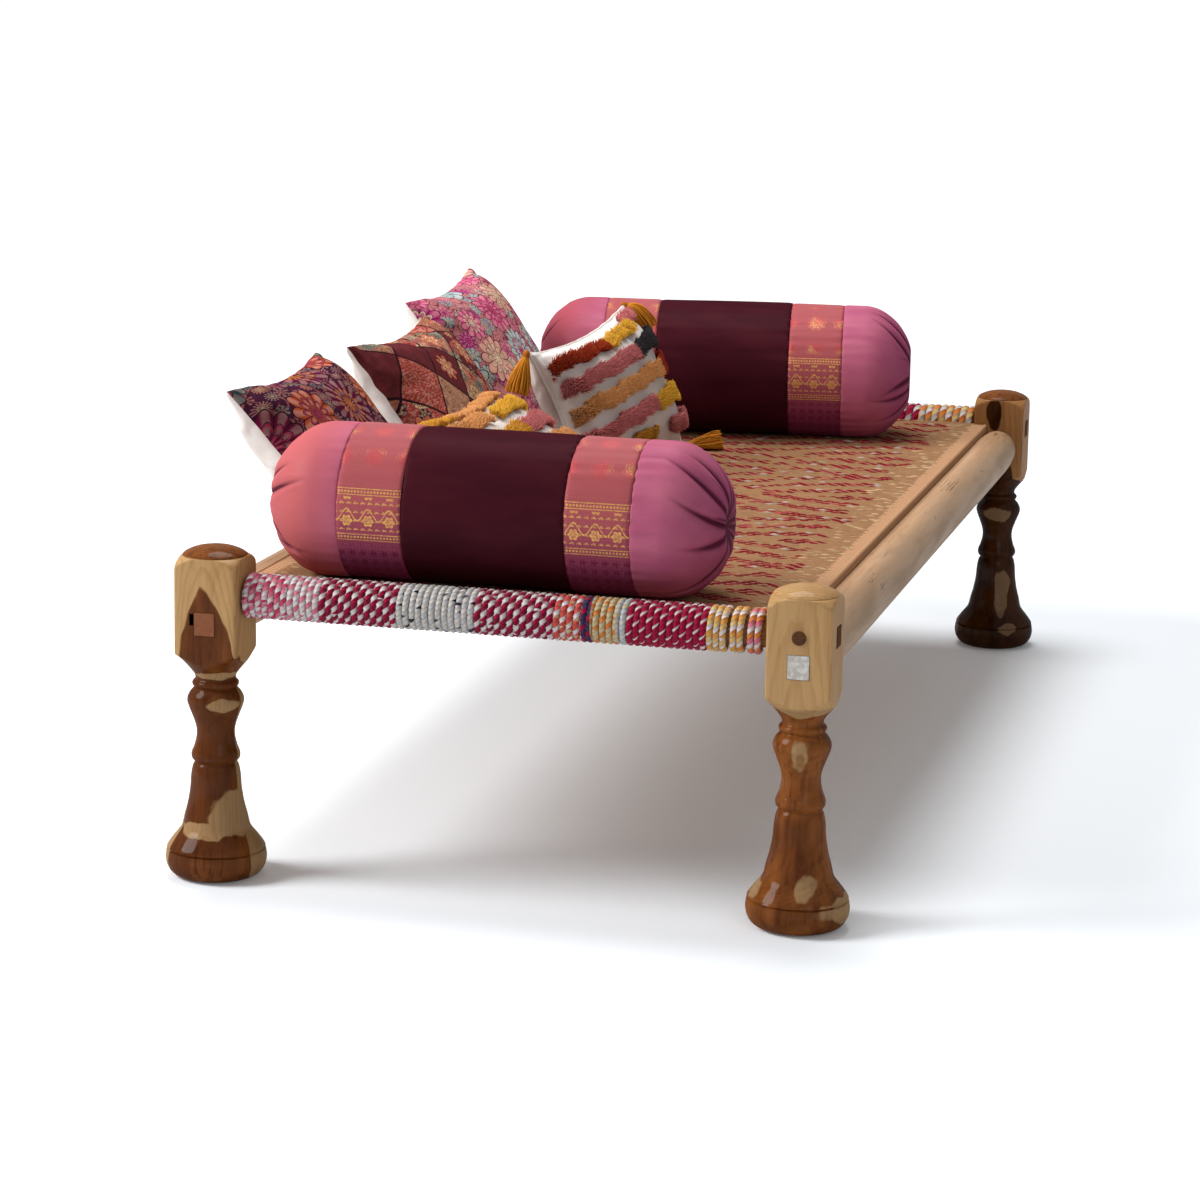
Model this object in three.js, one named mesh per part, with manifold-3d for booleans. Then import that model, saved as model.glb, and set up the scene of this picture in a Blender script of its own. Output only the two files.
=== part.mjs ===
// Charpai: a low wooden day bed on four turned legs, strung with cotton rope.
//
// Each leg is turned below and left square above, where two rails enter it one above
// the other: the end rail's tenon runs right through from side to side, and the side
// rail's tenon runs right through below it, from end to end. A round peg locks the
// upper tenon. Cotton rope is wound round both end rails and carries the woven bed.
// Two bolsters lie across the ends, and five cushions lean along the left side.
//
// Millimetres, +X to the right of someone at the foot of the bed, +Y along the bed,
// +Z up, with the origin on the floor under the middle of the bed.

import * as THREE from "three";
import { mergeVertices } from "three/addons/utils/BufferGeometryUtils.js";
import Module from "manifold-3d";

const wasm = await Module();
wasm.setup();

// Frame sizes
const legSpacingAcross = 813;
const legSpacingAlong = 1821;
const legHeight = 460;
const blockWidth = 88;
const sideRailRadius = 37;
const sideRailEndRadius = 33;
const sideRailTaperLength = 90;
const endRailRadius = 20.8;
const endRailDrop = 66;
const railShoulderRound = 5;

// Clearances and working overruns
const jointGap = 0.3;
const restGap = 0.3;
const cutOverrun = 2;

// Tenons, with the wood left between the two in a leg, pegs and the wedge
const tenonBridge = 5.5;
const sideTenonWidth = 29;
const sideTenonHeight = 32;
const sideTenonDrop = 2.5;
const endTenonWidth = 29;
const endTenonHeight = 28;
const tenonProud = 0.8;
const pegRadius = 8;
const pegHeadRadius = 9.5;
const pegHeadRise = 2.5;
const pegLength = 74;
const pegRise = 3.5;
const wedgeWidth = 6;
const wedgeTipWidth = 2.5;
const wedgeHeight = 16;
const wedgeLength = 46;
const wedgeRise = 6;

// Turned part of a leg, from the floor up: the radius of each feature, and its
// height as a share of the turned part
const footSoleRadius = 46;
const footSoleRound = 5;
const footRadius = 69;
const footWidestShare = 0.083;
const footLineShare = 0.124;
const footLineDepth = 1.2;
const footLineWidth = 2.4;
const footShoulderRadius = 47;
const footShoulderShare = 0.225;
const ankleRadius = 34;
const ankleShare = 0.419;
const lowerGrooveRadius = 29.5;
const lowerGrooveShare = 0.508;
const collarRadius = 33;
const collarShare = 0.54;
const waistRadius = 26;
const waistShare = 0.638;
const bulbRadius = 38.5;
const bulbShare = 0.775;
const upperGrooveRadius = 29;
const upperGrooveShare = 0.838;
const ringRadius = 31.5;
const ringShare = 0.857;
const neckRadius = 27.5;
const neckShare = 0.876;
const cupRadius = 37;
const cupShare = 0.93;

// Square block of a leg, measured down from its top: corners, shoulder and low dome
const blockCornerDrop = 145;
const shoulderDrop = 31;
const crownRadius = 45;
const crownDrop = 13;
const crownStep = 1.5;
const legSegments = 20;
const curveSteps = 3;

// Woven bed
const weaveThickness = 7;
const weaveEdgeInset = 19;
const weaveEdgeSegments = 4;
const weaveNotchGap = 1;

// Rope round the end rails
const ropeDiameter = 8;
const ropePitch = 9;
const backRopeDiameter = 11;
const backRopePitch = 18;
const bandGap = 0.5;
const bandSegments = 9;
const looseRopeGap = 1.5;
const loopSteps = 24;
const ropeSides = 6;

// Bolsters
const bolsterLength = 655;
const bolsterDomeLength = 90;
const bolsterCentreLength = 226;
const bolsterBandLength = 90;
const bolsterFlat = 5;
const gatherRadius = 9;
const gatherDimple = 10;
const pleatDepth = 5;
const pleatCount = 10;
const bolsterSegments = 20;
const bolsterEndRows = 5;
const panelGap = 0.3;
const frontBolsterRadius = 107;
const frontBolsterShift = -43;
const frontBolsterGap = 1;
const backBolsterRadius = 114;
const backBolsterShift = -39;
const backBolsterGap = 163;
const backBolsterTurnAngle = 0.15;

// Cushions: their sizes, how far in from the left rail each foot edge stands, and
// how far the middle and the near corner of its top edge sag
const printedLength = 400;
const printedHeight = 300;
const floralHeight = 335;
const printedThickness = 104;
const tuftedLength = 434;
const tuftedHeight = 260;
const tuftedThickness = 100;
const cushionSeam = 4;
const cushionColumns = 10;
const cushionRows = 10;
const edgeDrawInShare = 0.09;
const rowTuck = 23;
const rowGap = 1;
const mandalaInset = 123;
const mandalaLeanAngle = 0.69;
const mandalaDip = 12;
const mandalaDrop = 4;
const patchworkInset = 157;
const patchworkLeanAngle = 0.63;
const patchworkDip = 12;
const floralInset = 128;
const floralLeanAngle = 0.6;
const floralDip = 14;
const floralDrop = 16;
const uprightInset = 316;
const uprightLeanAngle = 0.45;
const uprightTurnAngle = -0.14;
const uprightSetback = 106;
const uprightDip = 30;
const uprightDrop = 31;
const lowInset = 362;
const lowLeanAngle = 1.06;
const lowSetback = 127;
const lowDip = 10;

// Tassels
const tasselLength = 72;
const tasselSkirtRadius = 16;
const tasselBodyRadius = 11;
const tasselNeckRadius = 4.5;
const tasselHeadRadius = 6;
const tasselHeadLength = 13;
const tasselSegments = 6;
const footTasselAngle = Math.PI / 3;
const hangingNearShares = [-0.15, -0.25, -1];
const overFarEdgeShares = [0.55, 0.35, -0.75];
const lyingNearShares = [1.3, -0.25, -1];
const lyingFarShares = [1.3, 0.25, -1];

// Colours, roughness and metalness
const paints = {
  lacqueredWood: [0x8a4a22, 0.32],
  paleWood: [0xb9875a, 0.5],
  darkWood: [0x4a2413, 0.5],
  pinkRope: [0xcf8f98, 0.95],
  crimsonRope: [0x9c1838, 0.95],
  whiteRope: [0xcfc6b8, 0.95],
  mixedRope: [0xb86a58, 0.95],
  yellowRope: [0xd79a3c, 0.95],
  weave: [0xa87850, 0.95],
  pinkSatin: [0xb5607c, 0.4],
  brocade: [0xa84a5c, 0.45],
  burgundySatin: [0x3a1018, 0.4],
  mandalaPrint: [0x7a3040, 0.85],
  patchworkPrint: [0x8a5440, 0.85],
  floralPrint: [0xb06478, 0.85],
  tuftedCotton: [0xcfc0b0, 0.95],
  mustard: [0xc48420, 0.9],
};

const blockHalf = blockWidth / 2;
const legX = legSpacingAcross / 2;
const legY = legSpacingAlong / 2;
const endRailHeight = legHeight - endRailDrop;
const tenonStep = (endTenonHeight + sideTenonHeight) / 2 + tenonBridge;
const sideTenonLevel = endRailHeight - tenonStep;
const sideRailHeight = sideTenonLevel + sideTenonDrop;
const weaveBottom = sideRailHeight + sideRailRadius + restGap;
const weaveTop = weaveBottom + weaveThickness;
const wrapCore = endRailRadius + jointGap;
const wrapRadius = wrapCore + ropeDiameter;
const backWrapRadius = wrapCore + backRopeDiameter;

const charpai = new THREE.Group();

function material(paint) {
  const [color, roughness] = paints[paint];
  return new THREE.MeshStandardMaterial({ color, roughness, metalness: 0 });
}

function addMesh(name, geometry, paint, parent = charpai) {
  const mesh = new THREE.Mesh(geometry, material(paint));
  mesh.name = name;
  parent.add(mesh);
  return mesh;
}

// A closed geometry as a solid that can be cut and joined
function solidOf(geometry) {
  const bare = geometry.clone();
  bare.deleteAttribute("normal");
  bare.deleteAttribute("uv");
  const merged = mergeVertices(bare);
  return new wasm.Manifold(
    new wasm.Mesh({
      numProp: 3,
      vertProperties: new Float32Array(merged.attributes.position.array),
      triVerts: new Uint32Array(merged.index.array),
    }),
  );
}

// A cut or joined solid as a geometry again
function geometryOf(solid) {
  const { vertProperties, triVerts } = solid.getMesh();
  const geometry = new THREE.BufferGeometry();
  geometry.setAttribute("position", new THREE.BufferAttribute(vertProperties, 3));
  geometry.setIndex(new THREE.BufferAttribute(triVerts, 1));
  geometry.computeVertexNormals();
  return geometry;
}

function geometryFrom(positions, triangles) {
  const geometry = new THREE.BufferGeometry();
  geometry.setAttribute("position", new THREE.Float32BufferAttribute(positions, 3));
  geometry.setIndex(triangles);
  geometry.computeVertexNormals();
  return geometry;
}

function box(width, depth, height, x, y, z) {
  return new THREE.BoxGeometry(width, depth, height).translate(x, y, z);
}

// A profile of radius and height turned about the Z axis
function turned(profile, segments) {
  return new THREE.LatheGeometry(profile, segments).rotateX(Math.PI / 2);
}

// Legs

const turnedHeight = legHeight - blockCornerDrop;
const neckHeight = turnedHeight * neckShare;

function legProfile() {
  const footLineHeight = turnedHeight * footLineShare;
  const footShoulderHeight = turnedHeight * footShoulderShare;
  const ankleHeight = turnedHeight * ankleShare;
  const collarHeight = turnedHeight * collarShare;
  const waistHeight = turnedHeight * waistShare;
  const cupHeight = turnedHeight * cupShare;
  const crownHeight = legHeight - crownDrop;
  const outline = new THREE.Path();
  outline.moveTo(0, 0);
  outline.lineTo(footSoleRadius, 0);
  outline.quadraticCurveTo(
    footRadius,
    footSoleRound,
    footRadius,
    turnedHeight * footWidestShare,
  );
  outline.lineTo(footRadius - footLineDepth, footLineHeight - footLineWidth);
  outline.lineTo(footRadius - footLineDepth - footLineWidth, footLineHeight);
  outline.lineTo(footRadius - footLineDepth, footLineHeight + footLineWidth);
  outline.quadraticCurveTo(
    footShoulderRadius + footLineWidth,
    (footLineHeight + footShoulderHeight) / 2,
    footShoulderRadius,
    footShoulderHeight,
  );
  const ankleBend = (footShoulderHeight + ankleHeight) / 2;
  outline.quadraticCurveTo(ankleRadius, ankleBend, ankleRadius, ankleHeight);
  outline.lineTo(lowerGrooveRadius, turnedHeight * lowerGrooveShare);
  outline.lineTo(collarRadius, collarHeight);
  const waistBend = (collarHeight + waistHeight) / 2;
  outline.quadraticCurveTo(waistRadius, waistBend, waistRadius, waistHeight);
  outline.splineThru([
    new THREE.Vector2(bulbRadius, turnedHeight * bulbShare),
    new THREE.Vector2(upperGrooveRadius, turnedHeight * upperGrooveShare),
  ]);
  outline.lineTo(ringRadius, turnedHeight * ringShare);
  outline.lineTo(neckRadius, neckHeight);
  outline.quadraticCurveTo(neckRadius, (neckHeight + cupHeight) / 2, cupRadius, cupHeight);
  outline.lineTo(blockHalf * Math.SQRT2, turnedHeight);
  outline.lineTo(blockHalf * Math.SQRT2, legHeight - shoulderDrop);
  outline.quadraticCurveTo(blockHalf * Math.SQRT2, crownHeight, crownRadius, crownHeight);
  outline.lineTo(crownRadius - crownStep, crownHeight + crownStep);
  outline.quadraticCurveTo(blockHalf / 2, legHeight, 0, legHeight);
  return outline.getPoints(curveSteps);
}

function legBlank() {
  const turning = solidOf(turned(legProfile(), legSegments));
  const blockLength = legHeight - neckHeight + cutOverrun;
  const block = solidOf(box(blockWidth, blockWidth, blockLength, 0, 0, neckHeight + blockLength / 2));
  const girth = 2 * footRadius + cutOverrun;
  const stock = solidOf(box(girth, girth, neckHeight + cutOverrun, 0, 0, neckHeight / 2));
  return turning.intersect(block.add(stock));
}

const pegLevel = endRailHeight + pegRise;
const blank = legBlank();

function pegHole(radius, length) {
  return new THREE.CylinderGeometry(radius, radius, length, legSegments / 2);
}

function makeLeg(name, right, back, pegged) {
  const through = blockWidth + 2 * cutOverrun;
  const sideMortise = box(
    sideTenonWidth + 2 * jointGap,
    through,
    sideTenonHeight + 2 * jointGap,
    0,
    0,
    sideTenonLevel,
  );
  const endMortise = box(
    through,
    endTenonWidth + 2 * jointGap,
    endTenonHeight + 2 * jointGap,
    0,
    0,
    endRailHeight,
  );
  let leg = blank.subtract(solidOf(sideMortise)).subtract(solidOf(endMortise));
  if (pegged) {
    const holeLength = pegLength + jointGap + cutOverrun;
    const holeY = back * (blockHalf + cutOverrun - holeLength / 2);
    const hole = pegHole(pegRadius + jointGap, holeLength).translate(0, holeY, pegLevel);
    leg = leg.subtract(solidOf(hole));
  } else {
    leg = leg.subtract(solidOf(wedge(jointGap)));
  }
  const mesh = addMesh(name, geometryOf(leg), "lacqueredWood");
  mesh.position.set(right * legX, back * legY, 0);
}

// The wedge beside the side rail's tenon, in the frame of its leg
function wedge(clearance) {
  const face = -blockHalf - clearance;
  const tip = -blockHalf + wedgeLength + clearance;
  const inner = -sideTenonWidth / 2 - 2 * jointGap + clearance;
  const outline = new THREE.Shape();
  outline.moveTo(inner, face);
  outline.lineTo(inner, tip);
  outline.lineTo(inner - wedgeTipWidth - 2 * clearance, tip);
  outline.lineTo(inner - wedgeWidth - 2 * clearance, face);
  outline.closePath();
  const height = wedgeHeight + 2 * clearance;
  const solid = new THREE.ExtrudeGeometry(outline, { depth: height, bevelEnabled: false });
  return solid.translate(0, 0, sideTenonLevel + wedgeRise - height / 2);
}

function makePeg(name, right, back) {
  const profile = [
    new THREE.Vector2(0, 0),
    new THREE.Vector2(pegRadius, 0),
    new THREE.Vector2(pegRadius, pegLength),
    new THREE.Vector2(pegHeadRadius, pegLength + jointGap),
    new THREE.Vector2(pegHeadRadius * Math.SQRT1_2, pegLength + jointGap + pegHeadRise / 2),
    new THREE.Vector2(0, pegLength + jointGap + pegHeadRise),
  ];
  const peg = new THREE.LatheGeometry(profile, legSegments / 2);
  if (back < 0) {
    peg.rotateX(Math.PI);
  }
  const mesh = addMesh(name, peg, "darkWood");
  mesh.position.set(right * legX, back * (legY + blockHalf - pegLength), pegLevel);
}

// Rails

// A round rail along Z with a square tenon through the block at each end
function railSolid(radius, endRadius, taper, span, tenonWidth, tenonHeight, tenonDrop) {
  const shoulder = span / 2 - jointGap;
  const profile = [
    new THREE.Vector2(0, -shoulder),
    new THREE.Vector2(endRadius - railShoulderRound, -shoulder),
    new THREE.Vector2(endRadius, -shoulder + railShoulderRound),
    new THREE.Vector2(radius, -shoulder + taper),
    new THREE.Vector2(radius, shoulder - taper),
    new THREE.Vector2(endRadius, shoulder - railShoulderRound),
    new THREE.Vector2(endRadius - railShoulderRound, shoulder),
    new THREE.Vector2(0, shoulder),
  ];
  const rail = solidOf(new THREE.LatheGeometry(profile, legSegments));
  const length = span + 2 * (blockWidth + tenonProud);
  const tenons = solidOf(box(tenonWidth, length, tenonHeight, 0, 0, -tenonDrop));
  return rail.add(tenons);
}

function makeSideRail(name, right) {
  const span = legSpacingAlong - blockWidth;
  const rail = railSolid(
    sideRailRadius,
    sideRailEndRadius,
    sideRailTaperLength,
    span,
    sideTenonWidth,
    sideTenonHeight,
    sideTenonDrop,
  );
  const mesh = addMesh(name, geometryOf(rail), "paleWood");
  mesh.position.set(right * legX, 0, sideRailHeight);
}

function makeEndRail(name, back, peggedSides) {
  const span = legSpacingAcross - blockWidth;
  const taper = 2 * railShoulderRound;
  let rail = railSolid(endRailRadius, endRailRadius, taper, span, endTenonWidth, endTenonHeight, 0);
  for (const right of peggedSides) {
    const hole = pegHole(pegRadius + jointGap, endTenonWidth + 2 * cutOverrun);
    hole.rotateZ(Math.PI / 2).translate(0, -right * legX, pegRise);
    rail = rail.subtract(solidOf(hole));
  }
  const mesh = addMesh(name, geometryOf(rail), "darkWood");
  mesh.rotation.z = Math.PI / 2;
  mesh.position.set(0, back * legY, endRailHeight);
}

// Rope wound close round an end rail: one helical ridge for each turn of the rope
function ropeBand(turns, pitch, diameter) {
  const positions = [];
  const triangles = [];
  const leadInTurns = 1;
  const ridgeTurns = turns + 2 * leadInTurns;
  const steps = ridgeTurns * bandSegments;
  const grooveRadius = wrapCore + diameter * (1 - Math.SQRT1_2);
  const addPoint = (step, offset, radius) => {
    const angle = (2 * Math.PI * step) / bandSegments;
    const x = pitch * (step / bandSegments + offset - leadInTurns);
    positions.push(x, radius * Math.cos(angle), radius * Math.sin(angle));
  };
  for (let step = 0; step <= steps; step += 1) {
    addPoint(step, 0, grooveRadius);
  }
  const crests = steps + 1;
  for (let step = 0; step <= steps - bandSegments; step += 1) {
    addPoint(step, 1 / 2, wrapCore + diameter);
  }
  const lastCrest = steps - bandSegments;
  for (let step = 0; step < lastCrest; step += 1) {
    const next = step + bandSegments;
    triangles.push(step, step + 1, crests + step, step + 1, crests + step + 1, crests + step);
    triangles.push(crests + step, crests + step + 1, next, crests + step + 1, next + 1, next);
  }
  const startHub = positions.length / 3;
  positions.push(-pitch * leadInTurns, 0, 0);
  const endHub = startHub + 1;
  positions.push(pitch * ridgeTurns, 0, 0);
  for (let step = 0; step < bandSegments; step += 1) {
    triangles.push(startHub, step + 1, step);
    triangles.push(endHub, lastCrest + step, lastCrest + step + 1);
  }
  triangles.push(startHub, crests, bandSegments);
  triangles.push(startHub, 0, crests);
  triangles.push(endHub, crests + lastCrest, lastCrest);
  triangles.push(endHub, steps, crests + lastCrest);
  const thread = solidOf(geometryFrom(positions, triangles));
  const length = turns * pitch - bandGap;
  const reach = 4 * (wrapCore + diameter);
  const slice = solidOf(box(length, reach, reach, length / 2, 0, 0));
  const boreSides = 2 * bandSegments;
  const boreRadius = wrapCore / Math.cos(Math.PI / boreSides);
  const bore = new THREE.CylinderGeometry(boreRadius, boreRadius, length + reach, boreSides);
  bore.rotateZ(Math.PI / 2).translate(length / 2, 0, 0);
  return geometryOf(thread.intersect(slice).subtract(solidOf(bore)));
}

// Rope wound loosely: one unbroken tube whose two ends run straight for one diameter
function ropeWinding(turns) {
  const radius = wrapCore + ropeDiameter / 2;
  const steps = Math.round(turns * loopSteps);
  const centres = [];
  const outward = [];
  const alongStart = new THREE.Vector3(0, ropeDiameter, 0);
  for (let step = 0; step <= steps; step += 1) {
    const angle = (2 * Math.PI * step) / loopSteps;
    const out = new THREE.Vector3(0, -Math.sin(angle), -Math.cos(angle));
    const centre = out.clone().multiplyScalar(radius);
    centre.x = (ropePitch * step) / loopSteps;
    centres.push(centre);
    outward.push(out);
  }
  centres.unshift(centres[0].clone().add(alongStart));
  outward.unshift(outward[0].clone());
  centres.push(centres[steps + 1].clone().add(alongStart));
  outward.push(outward[steps + 1].clone());
  const positions = [];
  const triangles = [];
  const across = new THREE.Vector3(1, 0, 0);
  centres.forEach((centre, ring) => {
    for (let side = 0; side < ropeSides; side += 1) {
      const angle = (2 * Math.PI * side) / ropeSides;
      const point = centre.clone();
      point.addScaledVector(outward[ring], (ropeDiameter / 2) * Math.cos(angle));
      point.addScaledVector(across, (ropeDiameter / 2) * Math.sin(angle));
      positions.push(point.x, point.y, point.z);
    }
  });
  for (let ring = 0; ring < centres.length - 1; ring += 1) {
    for (let side = 0; side < ropeSides; side += 1) {
      const here = ring * ropeSides + side;
      const beside = ring * ropeSides + ((side + 1) % ropeSides);
      triangles.push(here, beside, here + ropeSides);
      triangles.push(beside, beside + ropeSides, here + ropeSides);
    }
  }
  const last = (centres.length - 1) * ropeSides;
  for (let side = 1; side < ropeSides - 1; side += 1) {
    triangles.push(0, side + 1, side);
    triangles.push(last, last + side, last + side + 1);
  }
  console.log(`least gap between loops: ${leastLoopGap(centres).toFixed(2)} mm`);
  return geometryFrom(positions, triangles);
}

function leastLoopGap(centres) {
  let least = Infinity;
  for (let one = 0; one < centres.length; one += 1) {
    for (let other = one + loopSteps / 2; other < centres.length; other += 1) {
      least = Math.min(least, centres[one].distanceTo(centres[other]));
    }
  }
  return least - ropeDiameter;
}

function makeFrontRope() {
  const bands = [
    ["rope_front_pink", 12, "pinkRope"],
    ["rope_front_crimson_left", 12, "crimsonRope"],
    ["rope_front_white", 12, "whiteRope"],
    ["rope_front_crimson_middle", 12, "crimsonRope"],
    ["rope_front_mixed", 11, "mixedRope"],
    ["rope_front_crimson_right", 12, "crimsonRope"],
  ];
  const windings = [
    ["rope_front_yellow", 2.5, "yellowRope"],
    ["rope_front_orange", 1.5, "yellowRope"],
    ["rope_front_rose", 1.5, "pinkRope"],
  ];
  let x = -legX + blockHalf + bandGap;
  for (const [name, turns, paint] of bands) {
    const mesh = addMesh(name, ropeBand(turns, ropePitch, ropeDiameter), paint);
    mesh.position.set(x, -legY, endRailHeight);
    x += turns * ropePitch;
  }
  for (const [name, turns, paint] of windings) {
    x += ropeDiameter / 2;
    const mesh = addMesh(name, ropeWinding(turns), paint);
    mesh.position.set(x, -legY, endRailHeight);
    x += turns * ropePitch + ropeDiameter / 2 + looseRopeGap;
  }
}

function makeBackRope() {
  const bands = [
    ["rope_back_crimson", 28, "crimsonRope"],
    ["rope_back_cream", 6, "whiteRope"],
    ["rope_back_yellow", 5, "yellowRope"],
  ];
  let x = -legX + blockHalf + bandGap;
  for (const [name, turns, paint] of bands) {
    const mesh = addMesh(name, ropeBand(turns, backRopePitch, backRopeDiameter), paint);
    mesh.position.set(x, legY, endRailHeight);
    x += turns * backRopePitch;
  }
}

// Woven bed: a mat notched round the legs, whose long edges lie on top of the side rails
function makeBed() {
  const halfWidth = legX - weaveEdgeInset;
  const round = weaveThickness / 2;
  const outline = new THREE.Shape();
  outline.moveTo(-halfWidth + round, -round);
  outline.lineTo(halfWidth - round, -round);
  outline.absarc(halfWidth - round, 0, round, -Math.PI / 2, Math.PI / 2, false);
  outline.lineTo(-halfWidth + round, round);
  outline.absarc(-halfWidth + round, 0, round, Math.PI / 2, (3 * Math.PI) / 2, false);
  const front = -legY + wrapRadius + restGap;
  const back = legY - backWrapRadius - restGap;
  const mat = new THREE.ExtrudeGeometry(outline, {
    depth: back - front,
    bevelEnabled: false,
    curveSegments: weaveEdgeSegments,
  });
  mat.rotateX(Math.PI / 2).translate(0, back, 0);
  let notched = solidOf(mat);
  const notch = blockWidth + 2 * weaveNotchGap;
  for (const right of [-1, 1]) {
    for (const end of [-1, 1]) {
      notched = notched.subtract(solidOf(box(notch, notch, notch, right * legX, end * legY, 0)));
    }
  }
  const mesh = addMesh("woven_bed", geometryOf(notched), "weave");
  mesh.position.z = weaveBottom + round;
}

// Bolsters

// Radius along the bolster, and how far its gathers are drawn in there
function bolsterRadiusAt(distance, radius) {
  const domeStart = bolsterLength / 2 - bolsterDomeLength;
  const domeShare = Math.max(0, (distance - domeStart) / bolsterDomeLength);
  const round = Math.sqrt(Math.max(0, 1 - domeShare * domeShare));
  return gatherRadius + (radius - gatherRadius) * round;
}

function bolsterRing(positions, x, radius, fullRadius, gather) {
  for (let segment = 0; segment < bolsterSegments; segment += 1) {
    const angle = (2 * Math.PI * segment) / bolsterSegments;
    const fold = (1 - Math.cos(pleatCount * angle)) / 2;
    const reach = radius - pleatDepth * gather * fold;
    const y = reach * Math.cos(angle);
    const z = Math.max(reach * Math.sin(angle), bolsterFlat - fullRadius);
    positions.push(x, y, z);
  }
}

// One sewn panel of a bolster's cover, from its inner seam outwards
function bolsterPanel(start, end, radius) {
  const positions = [];
  const triangles = [];
  const gathered = end > bolsterLength / 2 - cutOverrun;
  const rows = gathered ? bolsterEndRows : 1;
  for (let row = 0; row <= rows; row += 1) {
    const share = gathered ? Math.sin((row / rows) * (Math.PI / 2)) : row / rows;
    const x = start + (end - start) * share;
    const gather = gathered ? share * share * (1 - share / 2) * 2 : 0;
    bolsterRing(positions, x, bolsterRadiusAt(Math.abs(x), radius), radius, gather);
  }
  const startHub = positions.length / 3;
  positions.push(start, 0, 0);
  const endHub = startHub + 1;
  positions.push(gathered ? end - gatherDimple : end, 0, 0);
  for (let segment = 0; segment < bolsterSegments; segment += 1) {
    const next = (segment + 1) % bolsterSegments;
    triangles.push(startHub, next, segment);
    for (let row = 0; row < rows; row += 1) {
      const low = row * bolsterSegments;
      const high = low + bolsterSegments;
      triangles.push(low + segment, low + next, high + segment);
      triangles.push(low + next, high + next, high + segment);
    }
    triangles.push(endHub, rows * bolsterSegments + segment, rows * bolsterSegments + next);
  }
  return geometryFrom(positions, triangles);
}

function makeBolster(name, radius, shift, y, turn) {
  const group = new THREE.Group();
  group.position.set(shift, y, weaveTop + restGap + radius - bolsterFlat);
  group.rotation.z = turn;
  charpai.add(group);
  const centre = bolsterCentreLength / 2;
  const bandEnd = centre + bolsterBandLength;
  const tip = bolsterLength / 2;
  addMesh(`${name}_centre`, bolsterPanel(-centre, centre, radius), "burgundySatin", group);
  for (const side of ["right", "left"]) {
    const band = bolsterPanel(centre + panelGap, bandEnd, radius);
    const end = bolsterPanel(bandEnd + panelGap, tip, radius);
    const bandMesh = addMesh(`${name}_band_${side}`, band, "brocade", group);
    const endMesh = addMesh(`${name}_end_${side}`, end, "pinkSatin", group);
    if (side === "left") {
      bandMesh.rotation.z = Math.PI;
      endMesh.rotation.z = Math.PI;
    }
  }
}

// Cushions

// A cushion standing on its long edge: x along it, y up it, z out of its face.
// Its sides are drawn in between the corners, its top dips in the middle,
// and its near top corner may hang lower than the far one.
function cushionGeometry(length, height, thickness, topDip, nearDrop) {
  const positions = [];
  const triangles = [];
  const columns = cushionColumns + 1;
  const rows = cushionRows + 1;
  for (const side of [1, -1]) {
    for (let row = 0; row < rows; row += 1) {
      const v = Math.sin((row / cushionRows - 1 / 2) * Math.PI);
      for (let column = 0; column < columns; column += 1) {
        const u = Math.sin((column / cushionColumns - 1 / 2) * Math.PI);
        const inner = Math.sqrt(Math.max(0, (1 - u ** 4) * (1 - v ** 4)));
        const upperShare = (1 + v) / 2;
        const nearShare = (1 - u) / 2;
        const x = (length / 2) * u * (1 - edgeDrawInShare * (1 - v * v));
        const dip = topDip * (1 - u * u) * upperShare * upperShare;
        const drop = nearDrop * nearShare * nearShare * upperShare * upperShare;
        const y = (height / 2) * (1 + v * (1 - edgeDrawInShare * (1 - u * u))) - dip - drop;
        const z = side * (cushionSeam / 2 + ((thickness - cushionSeam) / 2) * inner);
        positions.push(x, y, z);
      }
    }
  }
  const sheet = columns * rows;
  for (let row = 0; row < cushionRows; row += 1) {
    for (let column = 0; column < cushionColumns; column += 1) {
      const a = row * columns + column;
      const b = a + 1;
      const c = a + columns;
      const d = c + 1;
      triangles.push(a, b, d, a, d, c);
      triangles.push(sheet + a, sheet + d, sheet + b, sheet + a, sheet + c, sheet + d);
    }
  }
  const rim = [];
  for (let column = 0; column < cushionColumns; column += 1) {
    rim.push(column);
  }
  for (let row = 0; row < cushionRows; row += 1) {
    rim.push(row * columns + cushionColumns);
  }
  for (let column = cushionColumns; column > 0; column -= 1) {
    rim.push(cushionRows * columns + column);
  }
  for (let row = cushionRows; row > 0; row -= 1) {
    rim.push(row * columns);
  }
  rim.forEach((here, index) => {
    const next = rim[(index + 1) % rim.length];
    triangles.push(here, sheet + here, sheet + next, here, sheet + next, next);
  });
  return geometryFrom(positions, triangles);
}

// Turns a cushion so that it leans back to the left, and sets it down on the bed
function placeCushion(group, body, lean, turn, x, y) {
  const along = new THREE.Vector3(0, 1, 0);
  const up = new THREE.Vector3(-Math.sin(lean), 0, Math.cos(lean));
  const out = new THREE.Vector3(Math.cos(lean), 0, Math.sin(lean));
  const pose = new THREE.Matrix4().makeBasis(along, up, out);
  pose.premultiply(new THREE.Matrix4().makeRotationZ(turn));
  group.setRotationFromMatrix(pose);
  const point = new THREE.Vector3();
  const corners = body.attributes.position;
  let lowest = Infinity;
  for (let index = 0; index < corners.count; index += 1) {
    point.fromBufferAttribute(corners, index).applyMatrix4(pose);
    lowest = Math.min(lowest, point.z);
  }
  group.position.set(x, y, weaveTop + restGap - lowest);
  charpai.add(group);
}

function makeCushion(spec) {
  const group = new THREE.Group();
  const body = cushionGeometry(spec.length, spec.height, spec.thickness, spec.topDip, spec.nearDrop);
  addMesh(spec.name, body, spec.paint, group);
  placeCushion(group, body, spec.lean, spec.turn, -legX + spec.inset, spec.middleY);
  for (const tassel of spec.tassels) {
    makeTassel(tassel, group, spec);
  }
}

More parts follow.
